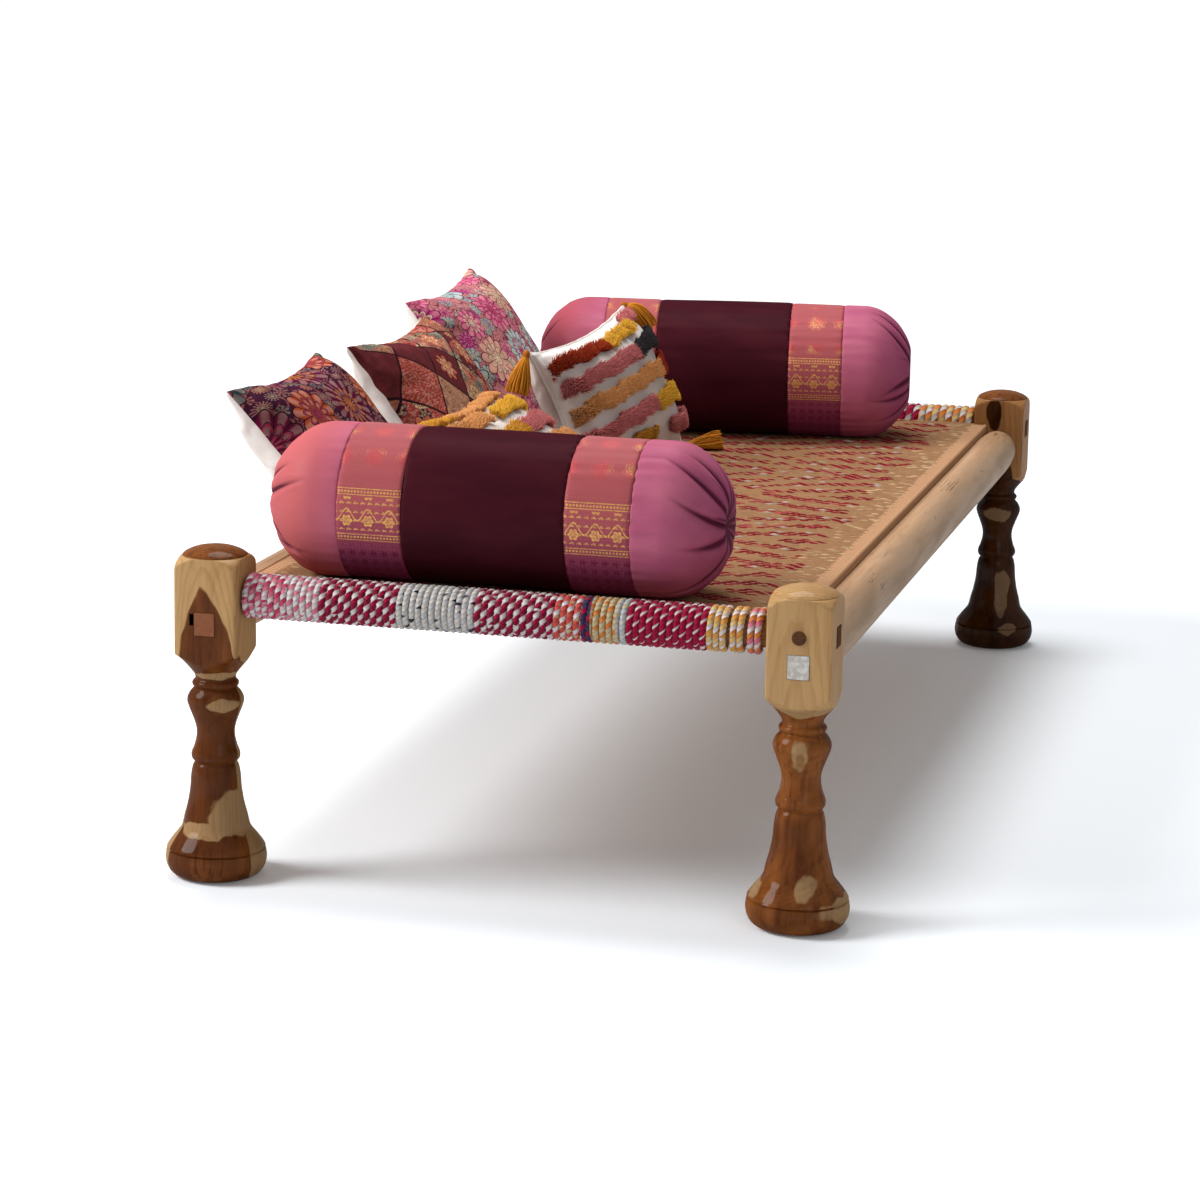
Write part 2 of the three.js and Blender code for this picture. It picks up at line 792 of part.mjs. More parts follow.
// A tassel hanging from the widest ring of its head, which is at the origin.
// Two of its flat sides face along Y.
function tasselGeometry() {
  const headHalf = tasselHeadLength / 2;
  const hem = headHalf - tasselLength;
  const profile = new THREE.Path();
  profile.moveTo(0, hem);
  profile.lineTo(tasselSkirtRadius, hem);
  profile.quadraticCurveTo(tasselBodyRadius, hem / 2, tasselNeckRadius, -headHalf);
  profile.lineTo(tasselHeadRadius, 0);
  profile.lineTo(0, headHalf);
  return turned(profile.getPoints(2), tasselSegments).rotateZ(Math.PI / tasselSegments);
}

// From a tassel's axis to a flat side of its head, and to one of its skirt
const tasselFlatShare = Math.cos(Math.PI / tasselSegments);
const headReach = tasselHeadRadius * tasselFlatShare;
const skirtReach = tasselSkirtRadius * tasselFlatShare;
const tasselSlope = (skirtReach - headReach) / (tasselLength - tasselHeadLength / 2);

// The head of each tassel lies beside its corner, and the skirt hangs or lies from there
function makeTassel(tassel, group, spec) {
  const corner = new THREE.Vector3(
    (tassel.far * spec.length) / 2,
    tassel.top ? spec.height : 0,
    0,
  );
  if (tassel.top && tassel.far < 0) {
    corner.y -= spec.nearDrop;
  }
  group.updateMatrixWorld(true);
  group.localToWorld(corner);
  const holder = new THREE.Group();
  holder.rotation.z = spec.turn;
  holder.position.copy(corner);
  charpai.add(holder);
  const direction = new THREE.Vector3();
  if (tassel.top) {
    direction.set(...tassel.directionShares);
  } else {
    holder.position.z = weaveTop + restGap + headReach;
    direction.set(Math.sin(footTasselAngle), tassel.far * Math.cos(footTasselAngle), tasselSlope);
  }
  direction.normalize();
  const mesh = addMesh(tassel.name, tasselGeometry(), "mustard", holder);
  mesh.quaternion.setFromUnitVectors(new THREE.Vector3(0, 0, -1), direction);
  mesh.position.y = tassel.far * (headReach + restGap);
}

function tasselsFor(prefix, nearShares, farShares) {
  return [
    { name: `${prefix}_near_top`, far: -1, top: true, directionShares: nearShares },
    { name: `${prefix}_far_top`, far: 1, top: true, directionShares: farShares },
    { name: `${prefix}_near_foot`, far: -1, top: false },
    { name: `${prefix}_far_foot`, far: 1, top: false },
  ];
}

makeLeg("leg_front_left", -1, -1, false);
makeLeg("leg_front_right", 1, -1, true);
makeLeg("leg_back_left", -1, 1, true);
makeLeg("leg_back_right", 1, 1, true);
makePeg("peg_front_right", 1, -1);
makePeg("peg_back_left", -1, 1);
makePeg("peg_back_right", 1, 1);
const wedgeMesh = addMesh("wedge_front_left", wedge(0), "darkWood");
wedgeMesh.position.set(-legX, -legY, 0);
makeSideRail("side_rail_left", -1);
makeSideRail("side_rail_right", 1);
makeEndRail("end_rail_front", -1, [1]);
makeEndRail("end_rail_back", 1, [-1, 1]);
makeFrontRope();
makeBackRope();
makeBed();

const frontBolsterY = -legY + wrapRadius + frontBolsterGap + frontBolsterRadius;
const backBolsterY = legY - backBolsterGap - backBolsterRadius;
makeBolster("bolster_front", frontBolsterRadius, frontBolsterShift, frontBolsterY, 0);
makeBolster("bolster_back", backBolsterRadius, backBolsterShift, backBolsterY, backBolsterTurnAngle);

const printed = { length: printedLength, height: printedHeight, thickness: printedThickness };
const tufted = { length: tuftedLength, height: tuftedHeight, thickness: tuftedThickness };
const rowStart = frontBolsterY + frontBolsterRadius - rowTuck + printedLength / 2;
const rowStep = printedLength + rowGap;
const cushions = [
  {
    ...printed,
    name: "cushion_mandala",
    paint: "mandalaPrint",
    lean: mandalaLeanAngle,
    turn: 0,
    inset: mandalaInset,
    middleY: rowStart,
    topDip: mandalaDip,
    nearDrop: mandalaDrop,
    tassels: [],
  },
  {
    ...printed,
    name: "cushion_patchwork",
    paint: "patchworkPrint",
    lean: patchworkLeanAngle,
    turn: 0,
    inset: patchworkInset,
    middleY: rowStart + rowStep,
    topDip: patchworkDip,
    nearDrop: 0,
    tassels: [],
  },
  {
    ...printed,
    name: "cushion_floral",
    paint: "floralPrint",
    height: floralHeight,
    lean: floralLeanAngle,
    turn: 0,
    inset: floralInset,
    middleY: rowStart + 2 * rowStep,
    topDip: floralDip,
    nearDrop: floralDrop,
    tassels: [],
  },
  {
    ...tufted,
    name: "cushion_tufted_upright",
    paint: "tuftedCotton",
    lean: uprightLeanAngle,
    turn: uprightTurnAngle,
    inset: uprightInset,
    middleY: backBolsterY - backBolsterRadius - uprightSetback - tuftedLength / 2,
    topDip: uprightDip,
    nearDrop: uprightDrop,
    tassels: tasselsFor("tassel_upright", hangingNearShares, overFarEdgeShares),
  },
  {
    ...tufted,
    name: "cushion_tufted_low",
    paint: "tuftedCotton",
    lean: lowLeanAngle,
    turn: 0,
    inset: lowInset,
    middleY: frontBolsterY + frontBolsterRadius + lowSetback + tuftedLength / 2,
    topDip: lowDip,
    nearDrop: 0,
    tassels: tasselsFor("tassel_low", lyingNearShares, lyingFarShares),
  },
];
cushions.forEach(makeCushion);

export default charpai;
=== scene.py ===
# Charpai: a low wooden day bed on four turned legs, strung with cotton rope and dressed
# with two bolsters and five cushions. Metres, +Y along the bed, +Z up, floor at 0.

import math

import bmesh
import bpy
import numpy as np
from mathutils import Matrix, Vector


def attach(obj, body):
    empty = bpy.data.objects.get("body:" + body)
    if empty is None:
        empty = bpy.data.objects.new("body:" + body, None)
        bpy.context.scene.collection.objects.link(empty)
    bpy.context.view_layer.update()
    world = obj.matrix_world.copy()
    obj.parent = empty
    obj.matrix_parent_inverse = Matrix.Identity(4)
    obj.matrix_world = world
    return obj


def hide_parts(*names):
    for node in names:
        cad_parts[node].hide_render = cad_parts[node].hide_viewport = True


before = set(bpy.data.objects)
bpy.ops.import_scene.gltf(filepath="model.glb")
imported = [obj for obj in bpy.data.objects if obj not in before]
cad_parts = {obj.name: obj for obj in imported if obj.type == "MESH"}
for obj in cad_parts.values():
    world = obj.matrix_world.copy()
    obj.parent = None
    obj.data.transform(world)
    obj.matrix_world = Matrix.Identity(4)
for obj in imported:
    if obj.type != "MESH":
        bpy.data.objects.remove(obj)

scene = bpy.context.scene
scene.view_settings.view_transform = "Standard"
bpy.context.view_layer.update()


# Camera: a long lens, low and just right of the foot of the bed.

camera_place = Vector((1.2576, -5.431, 1.3907))
camera_yaw = 0.2444
camera_pitch = 0.2053
camera_roll = 0.0181
camera_lens = 108.4
sensor_width = 36


def add_object(name, data):
    """Puts a mesh, a curve, a lamp or the camera into the scene."""
    made = bpy.data.objects.new(name, data)
    scene.collection.objects.link(made)
    return made


camera_ahead = Vector((
    -math.sin(camera_yaw) * math.cos(camera_pitch),
    math.cos(camera_yaw) * math.cos(camera_pitch),
    -math.sin(camera_pitch),
))
level_right = Vector((math.cos(camera_yaw), math.sin(camera_yaw), 0))
level_up = level_right.cross(camera_ahead)
camera_right = level_right * math.cos(camera_roll) + level_up * math.sin(camera_roll)
camera_up = level_up * math.cos(camera_roll) - level_right * math.sin(camera_roll)
camera_data = bpy.data.cameras.new("photo_camera")
camera_data.lens = camera_lens
camera_data.sensor_width = sensor_width
camera = add_object("photo_camera", camera_data)
camera_turn = Matrix((camera_right, camera_up, -camera_ahead)).transposed()
camera.matrix_world = Matrix.Translation(camera_place) @ camera_turn.to_4x4()
scene.camera = camera


# Floor and studio light: a wide matt floor that keeps the shadow, a pale room, one large
# soft lamp high on the left, one overhead and a weaker one on the right.

floor_reach = 60
floor_level = -0.0003
floor_colour = (0.872, 0.908, 0.946, 1)
floor_lift = 0.07
far_floor_lift = 0.75
far_floor_start = 1.4
far_floor_end = 5.5
room_light = 0.38
# For each lamp: its place, its width and its power.
lamps = [
    ("key_lamp", (-3.7, -2.1, 3.1), 2.4, 240),
    ("fill_lamp", (2.4, -3.8, 2.0), 2.0, 18),
    ("top_lamp", (-0.5, 0.9, 4.2), 2.4, 140),
]


class Field:
    """A value in the tree being built, to be added, multiplied and so on like a number."""

    def __init__(self, socket):
        self.socket = socket

    def __add__(self, other):
        return calculate("ADD", self, other)

    def __sub__(self, other):
        return calculate("SUBTRACT", self, other)

    def __rsub__(self, other):
        return calculate("SUBTRACT", other, self)

    def __mul__(self, other):
        return calculate("MULTIPLY", self, other)

    def __truediv__(self, other):
        return calculate("DIVIDE", self, other)

    def __abs__(self):
        return calculate("ABSOLUTE", self)

    __radd__, __rmul__ = __add__, __mul__


class Made:
    """A node of the tree being built: its items give outputs and take inputs."""

    tree = None

    def __init__(self, node):
        self.node = node

    def __getitem__(self, output):
        return Field(self.node.outputs[output])

    def __setitem__(self, socket, value):
        if isinstance(value, Field):
            self.tree.links.new(value.socket, self.node.inputs[socket])
        else:
            self.node.inputs[socket].default_value = value


def add_node(kind, inputs=None, **settings):
    """Adds a node to the tree being built, its inputs set to values or fields."""
    made = Made(Made.tree.nodes.new(kind))
    for setting, value in settings.items():
        setattr(made.node, setting, value)
    for socket, value in (inputs or {}).items():
        made[socket] = value
    return made


def calculate(operation, *values):
    """One Math node."""
    return add_node("ShaderNodeMath", dict(enumerate(values)), operation=operation)[0]


def length_of(place):
    """How far a place lies from the origin."""
    return add_node("ShaderNodeVectorMath", {0: place}, operation="LENGTH")["Value"]


def object_place():
    """The place on the piece, which moves and turns with it."""
    return add_node("ShaderNodeTexCoord")["Object"]


def empty_material(name):
    """Makes a material and opens its empty tree."""
    finish = bpy.data.materials.new(name)
    finish.use_nodes = True
    Made.tree = finish.node_tree
    Made.tree.nodes.clear()
    return finish


def background_rays():
    """1 for the rays that show the background, straight, mirrored or through glass."""
    seen = add_node("ShaderNodeLightPath")
    mirrored = calculate("MAXIMUM", seen["Is Camera Ray"], seen["Is Glossy Ray"])
    return calculate("MAXIMUM", mirrored, seen["Is Transmission Ray"])


floor_finish = empty_material("studio_floor")
matt = add_node("ShaderNodeBsdfDiffuse", {"Color": floor_colour})
whiter = add_node(
    "ShaderNodeMapRange",
    {
        "Value": length_of(object_place()), "From Min": far_floor_start,
        "From Max": far_floor_end, "To Min": floor_lift, "To Max": far_floor_lift,
    },
)
glow = add_node("ShaderNodeEmission", {"Strength": background_rays() * whiter[0]})
both = add_node("ShaderNodeAddShader", {0: matt[0], 1: glow[0]})
add_node("ShaderNodeOutputMaterial", {"Surface": both[0]})
floor_mesh = bpy.data.meshes.new("studio_floor")
corners = [(-1, -1), (1, -1), (1, 1), (-1, 1)]
floor_places = [(x * floor_reach, y * floor_reach, floor_level) for x, y in corners]
floor_mesh.from_pydata(floor_places, [], [(0, 1, 2, 3)])
floor_mesh.materials.append(floor_finish)
floor = add_object("studio_floor", floor_mesh)

room = bpy.data.worlds.new("pale_room")
room.use_nodes = True
Made.tree = room.node_tree
Made.tree.nodes.clear()
strength = add_node(
    "ShaderNodeMapRange", {"Value": background_rays(), "To Min": room_light, "To Max": 1.0}
)
sky = add_node("ShaderNodeBackground", {"Strength": strength[0]})
add_node("ShaderNodeOutputWorld", {"Surface": sky[0]})
scene.world = room

for lamp_name, place, size, power in lamps:
    lamp_data = bpy.data.lights.new(lamp_name, "AREA")
    lamp_data.shape = "DISK"
    lamp_data.size = size
    lamp_data.energy = power
    lamp = add_object(lamp_name, lamp_data)
    lamp.location = place
    lamp.rotation_euler = (-Vector(place)).to_track_quat("-Z", "Y").to_euler()


# Legs: four posts turned from one wood with dark heart and pale sap, lacquered, left
# square at the top where two rails pass through, one above the other.

leg_x = 0.4065
leg_y = 0.9105
block_half = 0.044
block_corner_power = 24
turned_top = 0.285
edge_softness = 0.0011
leg_angles = 144
corner_crowding = 0.2
crease_angle = math.radians(32)
# Smooth stretches of the turning, as radius and height, each from the end of the one
# before; a crease lies between stretches.
leg_stretches = [
    [(0.043, 0.0)],
    [
        (0.052, 0.0012), (0.061, 0.006), (0.067, 0.015), (0.0692, 0.025), (0.0687, 0.032),
        (0.0678, 0.0372),
    ],
    [(0.0656, 0.0385), (0.0655, 0.0393), (0.0674, 0.0408)],
    [
        (0.0645, 0.046), (0.0570, 0.056), (0.0505, 0.064), (0.0465, 0.071), (0.0430, 0.086),
        (0.0390, 0.101), (0.0355, 0.121), (0.0340, 0.141), (0.0318, 0.1535), (0.0296, 0.1585),
    ],
    [(0.0289, 0.1600), (0.0298, 0.1617)],
    [
        (0.0324, 0.1650), (0.0334, 0.1700), (0.0324, 0.1752), (0.0302, 0.1805), (0.0276, 0.1890),
        (0.0261, 0.1980), (0.0262, 0.2060), (0.0282, 0.2150), (0.0322, 0.2260), (0.0365, 0.2370),
        (0.0387, 0.2450), (0.0379, 0.2515), (0.0345, 0.2580), (0.0302, 0.2630),
    ],
    [(0.0290, 0.2643), (0.0296, 0.2655)],
    [(0.0314, 0.2678), (0.0319, 0.2702), (0.0310, 0.2728), (0.0286, 0.2752)],
    [
        (0.0275, 0.2775), (0.0284, 0.2820), (0.0322, 0.2880), (0.0372, 0.2940), (0.0420, 0.2995),
        (0.0480, 0.3055), (0.0550, 0.3110), (0.0640, 0.3165),
    ],
    [(0.0700, 0.3200)],
    [(0.0700, 0.4260)],
    [(0.0645, 0.4290)],
    [(0.0600, 0.4355), (0.0545, 0.4415), (0.0490, 0.4455), (0.0453, 0.4472)],
    [(0.0440, 0.4476), (0.0437, 0.4488)],
    [(0.0395, 0.4518), (0.0325, 0.4551), (0.0235, 0.4580), (0.0120, 0.4596), (0.0, 0.4600)],
]
stretch_steps = 5
joint_line = 0.0005
side_rail_height = 0.361
end_rail_height = 0.394
side_tenon_width = 0.029
side_tenon_height = 0.032
side_tenon_level = 0.3585
end_tenon_width = 0.029
end_tenon_height = 0.028
peg_level = 0.3975
# For each leg: its side, its end, where the pith runs and how it leans, the radius of the
# dark heart at the height of the rails, how bright the heart is (its tone, with painted
# shade on the back right leg), how bright the dome is (a dome of 0 is pale), how far the
# pale wood of the turning is darkened as painted shade, the tint of the pale wood, and
# its patches: place across, height, half width, half height and 1 if pale, 0 if dark.
legs = [
    (
        "leg_front_left", -1, -1, (0.002, -0.0190), (-0.02, 0.18), 0.0375, 0.82, 0.78, 0.42,
        (1.0, 1.0, 1.0),
        [
            (0.018, 0.2440, 0.020, 0.008, 1), (0.010, 0.2840, 0.036, 0.0050, 1),
            (0.026, 0.0960, 0.026, 0.026, 1), (0.004, 0.0720, 0.050, 0.010, 1),
        ],
    ),
    (
        "leg_front_right", 1, -1, (-0.004, 0.018), (0.02, 0.06), 0.0400, 0.92, 0.0, 0.42,
        (1.0, 1.0, 1.0),
        [
            (0.006, 0.3010, 0.008, 0.0095, 1), (0.003, 0.2400, 0.0120, 0.0230, 1),
            (0.004, 0.2330, 0.0070, 0.0130, 0.45), (0.018, 0.0640, 0.012, 0.016, 1),
            (-0.056, 0.0560, 0.010, 0.014, 1),
        ],
    ),
    (
        "leg_back_left", -1, 1, (0.006, 0.010), (-0.05, 0.08), 0.0400, 0.60, 0.60, 0.42,
        (1.0, 1.0, 1.0), [(0.010, 0.2400, 0.014, 0.016, 1), (-0.020, 0.0800, 0.020, 0.024, 1)],
    ),
    (
        "leg_back_right", 1, 1, (-0.002, -0.0120), (-0.02, 0.03), 0.0345, 0.22, 0.85, 0.84,
        (0.80, 0.64, 0.54),
        [
            (0.002, 0.2420, 0.028, 0.013, 1), (0.016, 0.0980, 0.012, 0.040, 1),
            (0.030, 0.0400, 0.014, 0.009, 1), (-0.008, 0.4220, 0.013, 0.030, 0),
        ],
    ),
]
heart_colour = (0.225, 0.072, 0.016, 1)
heart_dark_colour = (0.060, 0.014, 0.004, 1)
sap_colour = (0.430, 0.258, 0.112, 1)
sap_dark_colour = (0.320, 0.168, 0.066, 1)


def smooth_stretch(points, steps):
    """Runs a Catmull-Rom curve through points, with its first point left out."""
    line = [np.array(point) for point in points]
    line = [2 * line[0] - line[1]] + line + [2 * line[-1] - line[-2]]
    run = []
    for before, start, end, after in zip(line, line[1:], line[2:], line[3:]):
        for step in range(1, steps + 1):
            t = step / steps
            run.append(
                0.5 * (
                    2 * start
                    + (end - before) * t
                    + (2 * before - 5 * start + 4 * end - after) * t * t
                    + (3 * start - before - 3 * end + after) * t * t * t
                )
            )
    return run


def skinned_piece(name, rings, finish, crease=crease_angle):
    """Skins a stack of rings, each a loop of points or one point, into a closed piece."""
    points = []
    starts = []
    for ring in rings:
        starts.append(len(points))
        points.extend(tuple(float(part) for part in point) for point in ring)
    faces = []
    for row in range(len(rings) - 1):
        low, high = rings[row], rings[row + 1]
        around = max(len(low), len(high))
        for here in range(around):
            beside = (here + 1) % around
            left, right = starts[row] + here, starts[row] + beside
            far_left, far_right = starts[row + 1] + here, starts[row + 1] + beside
            if len(low) == 1:
                corner = (starts[row], far_right, far_left)
            elif len(high) == 1:
                corner = (left, right, starts[row + 1])
            else:
                corner = (left, right, far_right, far_left)
            faces.append(corner)
    return mesh_piece(name, points, faces, finish, crease)


def mesh_piece(name, points, faces, finish, crease=crease_angle):
    """Makes a smooth-shaded object from points and faces, sharp along its creases."""
    mesh = bpy.data.meshes.new(name)
    mesh.from_pydata(points, [], faces)
    mesh.materials.append(finish)
    mesh.polygons.foreach_set("use_smooth", [True] * len(faces))
    mesh.set_sharp_from_angle(angle=crease)
    return add_object(name, mesh)


def settle(piece):
    """Applies every modifier of a piece to its mesh."""
    shaped = piece.evaluated_get(bpy.context.evaluated_depsgraph_get())
    mesh = bpy.data.meshes.new_from_object(shaped)
    piece.modifiers.clear()
    piece.data = mesh


def turned_rings(line, angles, radius_at, place):
    """Rings of a turning: line holds (radius, height), place maps (x, y, height)."""
    rings = []
    for radius, height in line:
        if radius < 1e-6:
            rings.append([place(0.0, 0.0, height)])
            continue
        reach = radius_at(radius, height, angles)
        rings.append([
            place(far * math.cos(angle), far * math.sin(angle), height)
            for far, angle in zip(reach, angles)
        ])
    return rings


def whole_turn(count):
    """Angles evenly spaced round a circle."""
    return np.arange(count) * 2 * math.pi / count


def round_reach(radius, _height, angles):
    """Distance from the axis to the skin of a plain round turning."""
    return np.full(len(angles), radius)


def leg_reach(radius, height, angles):
    """Distance from the axis to a leg's skin, where the block cuts the turning square."""
    if height < turned_top:
        return np.full(len(angles), radius)
    power = block_corner_power
    square = block_half / (
        np.abs(np.cos(angles)) ** power + np.abs(np.sin(angles)) ** power
    ) ** (1 / power)
    return -edge_softness * np.logaddexp(-radius / edge_softness, -square / edge_softness)


def rounded_box(name, middle, half_size, finish, rounding=0.0006):
    """A box round its middle, its edges eased."""
    shape = bmesh.new()
    bmesh.ops.create_cube(shape, size=2)
    sized = Matrix.Translation(middle) @ Matrix.Diagonal(Vector(half_size)).to_4x4()
    bmesh.ops.transform(shape, matrix=sized, verts=shape.verts)
    if rounding:
        bmesh.ops.bevel(shape, geom=shape.edges[:], offset=rounding, segments=2, affect="EDGES")
    mesh = bpy.data.meshes.new(name)
    shape.to_mesh(mesh)
    shape.free()
    mesh.materials.append(finish)
    return add_object(name, mesh)


def new_group(name, takes, gives):
    """Opens a shader node group with the named inputs and outputs."""
    group = bpy.data.node_groups.new(name, "ShaderNodeTree")
    for socket, kind, value in takes:
        made = group.interface.new_socket(socket, in_out="INPUT", socket_type=f"NodeSocket{kind}")
        if value is not None:
            made.default_value = value
    for socket, kind in gives:
        group.interface.new_socket(socket, in_out="OUTPUT", socket_type=f"NodeSocket{kind}")
    Made.tree = group
    return group, add_node("NodeGroupInput"), add_node("NodeGroupOutput")


def place_within(operation, first, second):
    """One Vector Math node on places."""
    return add_node("ShaderNodeVectorMath", {0: first, 1: second}, operation=operation)[0]


def parts(place):
    """The X, Y and Z of a place."""
    return add_node("ShaderNodeSeparateXYZ", {0: place})


def joined(x=0.0, y=0.0, z=0.0):
    """A place from its X, Y and Z."""
    return add_node("ShaderNodeCombineXYZ", {0: x, 1: y, 2: z})[0]


def stored(name, output):
    """A value stored on the piece's mesh."""
    return add_node("ShaderNodeAttribute", attribute_name=name)[output]


def ramp(value, low, high, start=0.0, end=1.0):
    """Maps a value from low..high to start..end, smoothly and clamped."""
    inputs = {"Value": value, "From Min": low, "From Max": high, "To Min": start, "To Max": end}
    return add_node("ShaderNodeMapRange", inputs, interpolation_type="SMOOTHSTEP")[0]


def blend_colours(share, first, second, blend_type="MIX"):
    """Mixes two colours."""
    inputs = {0: share, 6: first, 7: second}
    return add_node("ShaderNodeMix", inputs, data_type="RGBA", blend_type=blend_type)[2]


def shaded_by(shade, colour):
    """A colour made lighter or darker by a shade."""
    grey = add_node("ShaderNodeCombineColor", {0: shade, 1: shade, 2: shade})[0]
    return blend_colours(1.0, colour, grey, "MULTIPLY")


def speckle(place, scale, detail=2.0):
    """A soft noise, mostly between 0.3 and 0.7."""
    return add_node("ShaderNodeTexNoise", {"Vector": place, "Scale": scale, "Detail": detail})[0]


def stretched(place, scale=(1, 1, 1), shift=(0, 0, 0), turn=(0, 0, 0)):
    """Shifts, turns and scales a place."""
    inputs = {"Vector": place, "Scale": scale, "Location": shift, "Rotation": turn}
    return add_node("ShaderNodeMapping", inputs)[0]


def bumped(height, strength, distance):
    """A normal from a height."""
    inputs = {"Height": height, "Strength": strength, "Distance": distance}
    return add_node("ShaderNodeBump", inputs)[0]


def use_group(group, inputs):
    """Puts a node group into the tree being built."""
    return add_node("ShaderNodeGroup", inputs, node_tree=group)


def finished(colour, roughness, normal, **others):
    """The Principled shader of a material, its other sockets set by name."""
    inputs = {"Base Color": colour, "Roughness": roughness, "Normal": normal}
    inputs.update({socket.replace("_", " "): value for socket, value in others.items()})
    shader = add_node("ShaderNodeBsdfPrincipled", inputs)
    add_node("ShaderNodeOutputMaterial", {"Surface": shader[0]})


# The grain of one plank or post: growth rings round the Z axis, darker streaks and pores.
wood_grain, takes, gives = new_group(
    "wood_grain",
    [
        ("Place", "Vector", None), ("Light", "Color", sap_colour),
        ("Dark", "Color", sap_dark_colour), ("Ring Width", "Float", 0.004),
        ("Ring Depth", "Float", 0.42),
    ],
    [("Colour", "Color"), ("Height", "Float")],
)
long_place = stretched(takes["Place"], (1, 1, 0.16))
wander = add_node("ShaderNodeTexNoise", {"Vector": long_place, "Scale": 22, "Detail": 3})["Color"]
wander = place_within("SUBTRACT", wander, (0.5, 0.5, 0.5))
wander = place_within("MULTIPLY", wander, (0.016, 0.016, 0))
wandered = place_within("ADD", takes["Place"], wander)
from_pith = length_of(place_within("MULTIPLY", wandered, (1, 1, 0)))
ring_share = calculate("FRACT", from_pith / takes["Ring Width"])
rings = ramp(ring_share, 0.35, 0.95) * ramp(ring_share, 0.95, 1.0, 1.0, 0.0)
streaks = speckle(stretched(wandered, (1, 1, 0.05)), 160, 3)
pores = speckle(stretched(wandered, (1, 1, 0.03)), 900, 1)
patches = speckle(long_place, 30, 2)
depth = rings * takes["Ring Depth"] + ramp(streaks, 0.45, 0.75) * 0.45
depth = depth + ramp(patches, 0.4, 0.7) * 0.35 + ramp(pores, 0.6, 0.8) * 0.25
depth = calculate("MINIMUM", depth, 1.0)
gives["Colour"] = blend_colours(depth, takes["Light"], takes["Dark"])
gives["Height"] = 1.0 - depth


def leg_finish(
    name, middle, pith, lean, heart_radius, heart_tone_and_shade, dome, turned_shade, pale_tint, patches
):
    """Lacquered wood whose dark heart is a leaning cylinder that widens to the floor."""
    finish = empty_material(name)

    def tinted(colour, tint):
        """A colour times a tint."""
        return [part * share for part, share in zip(colour, tint)] + [1]

    def heart_wood(bright):
        """The grain of the dark heart, as bright as given."""
        return use_group(
            wood_grain,
            {
                "Place": on_pith, "Light": tinted(heart_colour, [bright] * 3),
                "Dark": tinted(heart_dark_colour, [bright] * 3), "Ring Depth": 0.14,
            },
        )

    place = object_place()
    on_leg = place_within(
        "SUBTRACT", place, (middle[0] + pith[0], middle[1] + pith[1], side_rail_height)
    )
    height = parts(on_leg)["Z"]
    on_pith = place_within("SUBTRACT", on_leg, joined(height * lean[0], height * lean[1]))
    uneven = speckle(stretched(on_pith, (1, 1, 0.45)), 24, 2)
    reach = length_of(place_within("MULTIPLY", on_pith, (1, 1, 0))) + uneven * 0.020
    beyond = reach - (height * -0.105 + (heart_radius + 0.010))
    sap = ramp(beyond, -0.0006, 0.0010)
    around_leg = parts(place_within("SUBTRACT", place, (*middle, 0)))
    ragged = speckle(stretched(place, (1, 1, 0.6)), 38, 2) * 1.5 - 0.75
    in_front = ramp(around_leg["Y"], 0.012, 0.004)
    for across, level, half_width, half_tall, paleness in patches:
        off_x = (around_leg["X"] - across) / half_width
        off_z = (around_leg["Z"] - level) / half_tall
        far = length_of(joined(off_x, off_z)) + ragged
        sap = ramp(far, 0.87, 1.12, 1.0, 0.0) * in_front * (paleness - sap) + sap
    # The heart's brightness: the leg's own tone, and on the back right leg also painted shade.
    heart = heart_wood(heart_tone_and_shade)
    clouds = speckle(stretched(on_pith, (1, 1, 0.40)), 17, 2)
    clouds = ramp(clouds, 0.44, 0.60, 0.0, 0.62)
    clouded = blend_colours(clouds, heart["Colour"], tinted(heart_dark_colour, [heart_tone_and_shade] * 3))
    pale = use_group(
        wood_grain,
        {
            "Place": on_pith, "Light": tinted(sap_colour, pale_tint),
            "Dark": tinted(sap_dark_colour, pale_tint), "Ring Width": 0.0055,
        },
    )
    # Painted shade: below the block the pale wood of the turning is darkened towards dark brown.
    on_block = ramp(height, -0.062, -0.056)
    shaded_sap = blend_colours(turned_shade, pale["Colour"], (0.130, 0.080, 0.045, 1))
    pale_colour = blend_colours(on_block, shaded_sap, pale["Colour"])
    colour = blend_colours(sap, clouded, pale_colour)
    crown = ramp(height, 0.0855, 0.0872)
    on_dome = heart_wood(dome) if dome else pale
    browned = blend_colours(crown, colour, on_dome["Colour"])
    roughness = ramp(speckle(on_pith, 60, 4), 0.35, 0.7, 0.30, 0.46)
    normal = bumped(heart["Height"], 0.12, 0.0006)
    finished(
        browned, roughness, normal, Specular_IOR_Level=0.0, Coat_Weight=0.13, Coat_Roughness=0.05
    )
    return finish


def cut_away(piece, cutters):
    """Cuts the closed shapes out of a piece and deletes them."""
    for cutter in cutters:
        cut = piece.modifiers.new("mortise", "BOOLEAN")
        cut.operation = "DIFFERENCE"
        cut.solver = "EXACT"
        cut.object = cutter
    settle(piece)
    for cutter in cutters:
        bpy.data.objects.remove(cutter)
    piece.data.set_sharp_from_angle(angle=crease_angle)


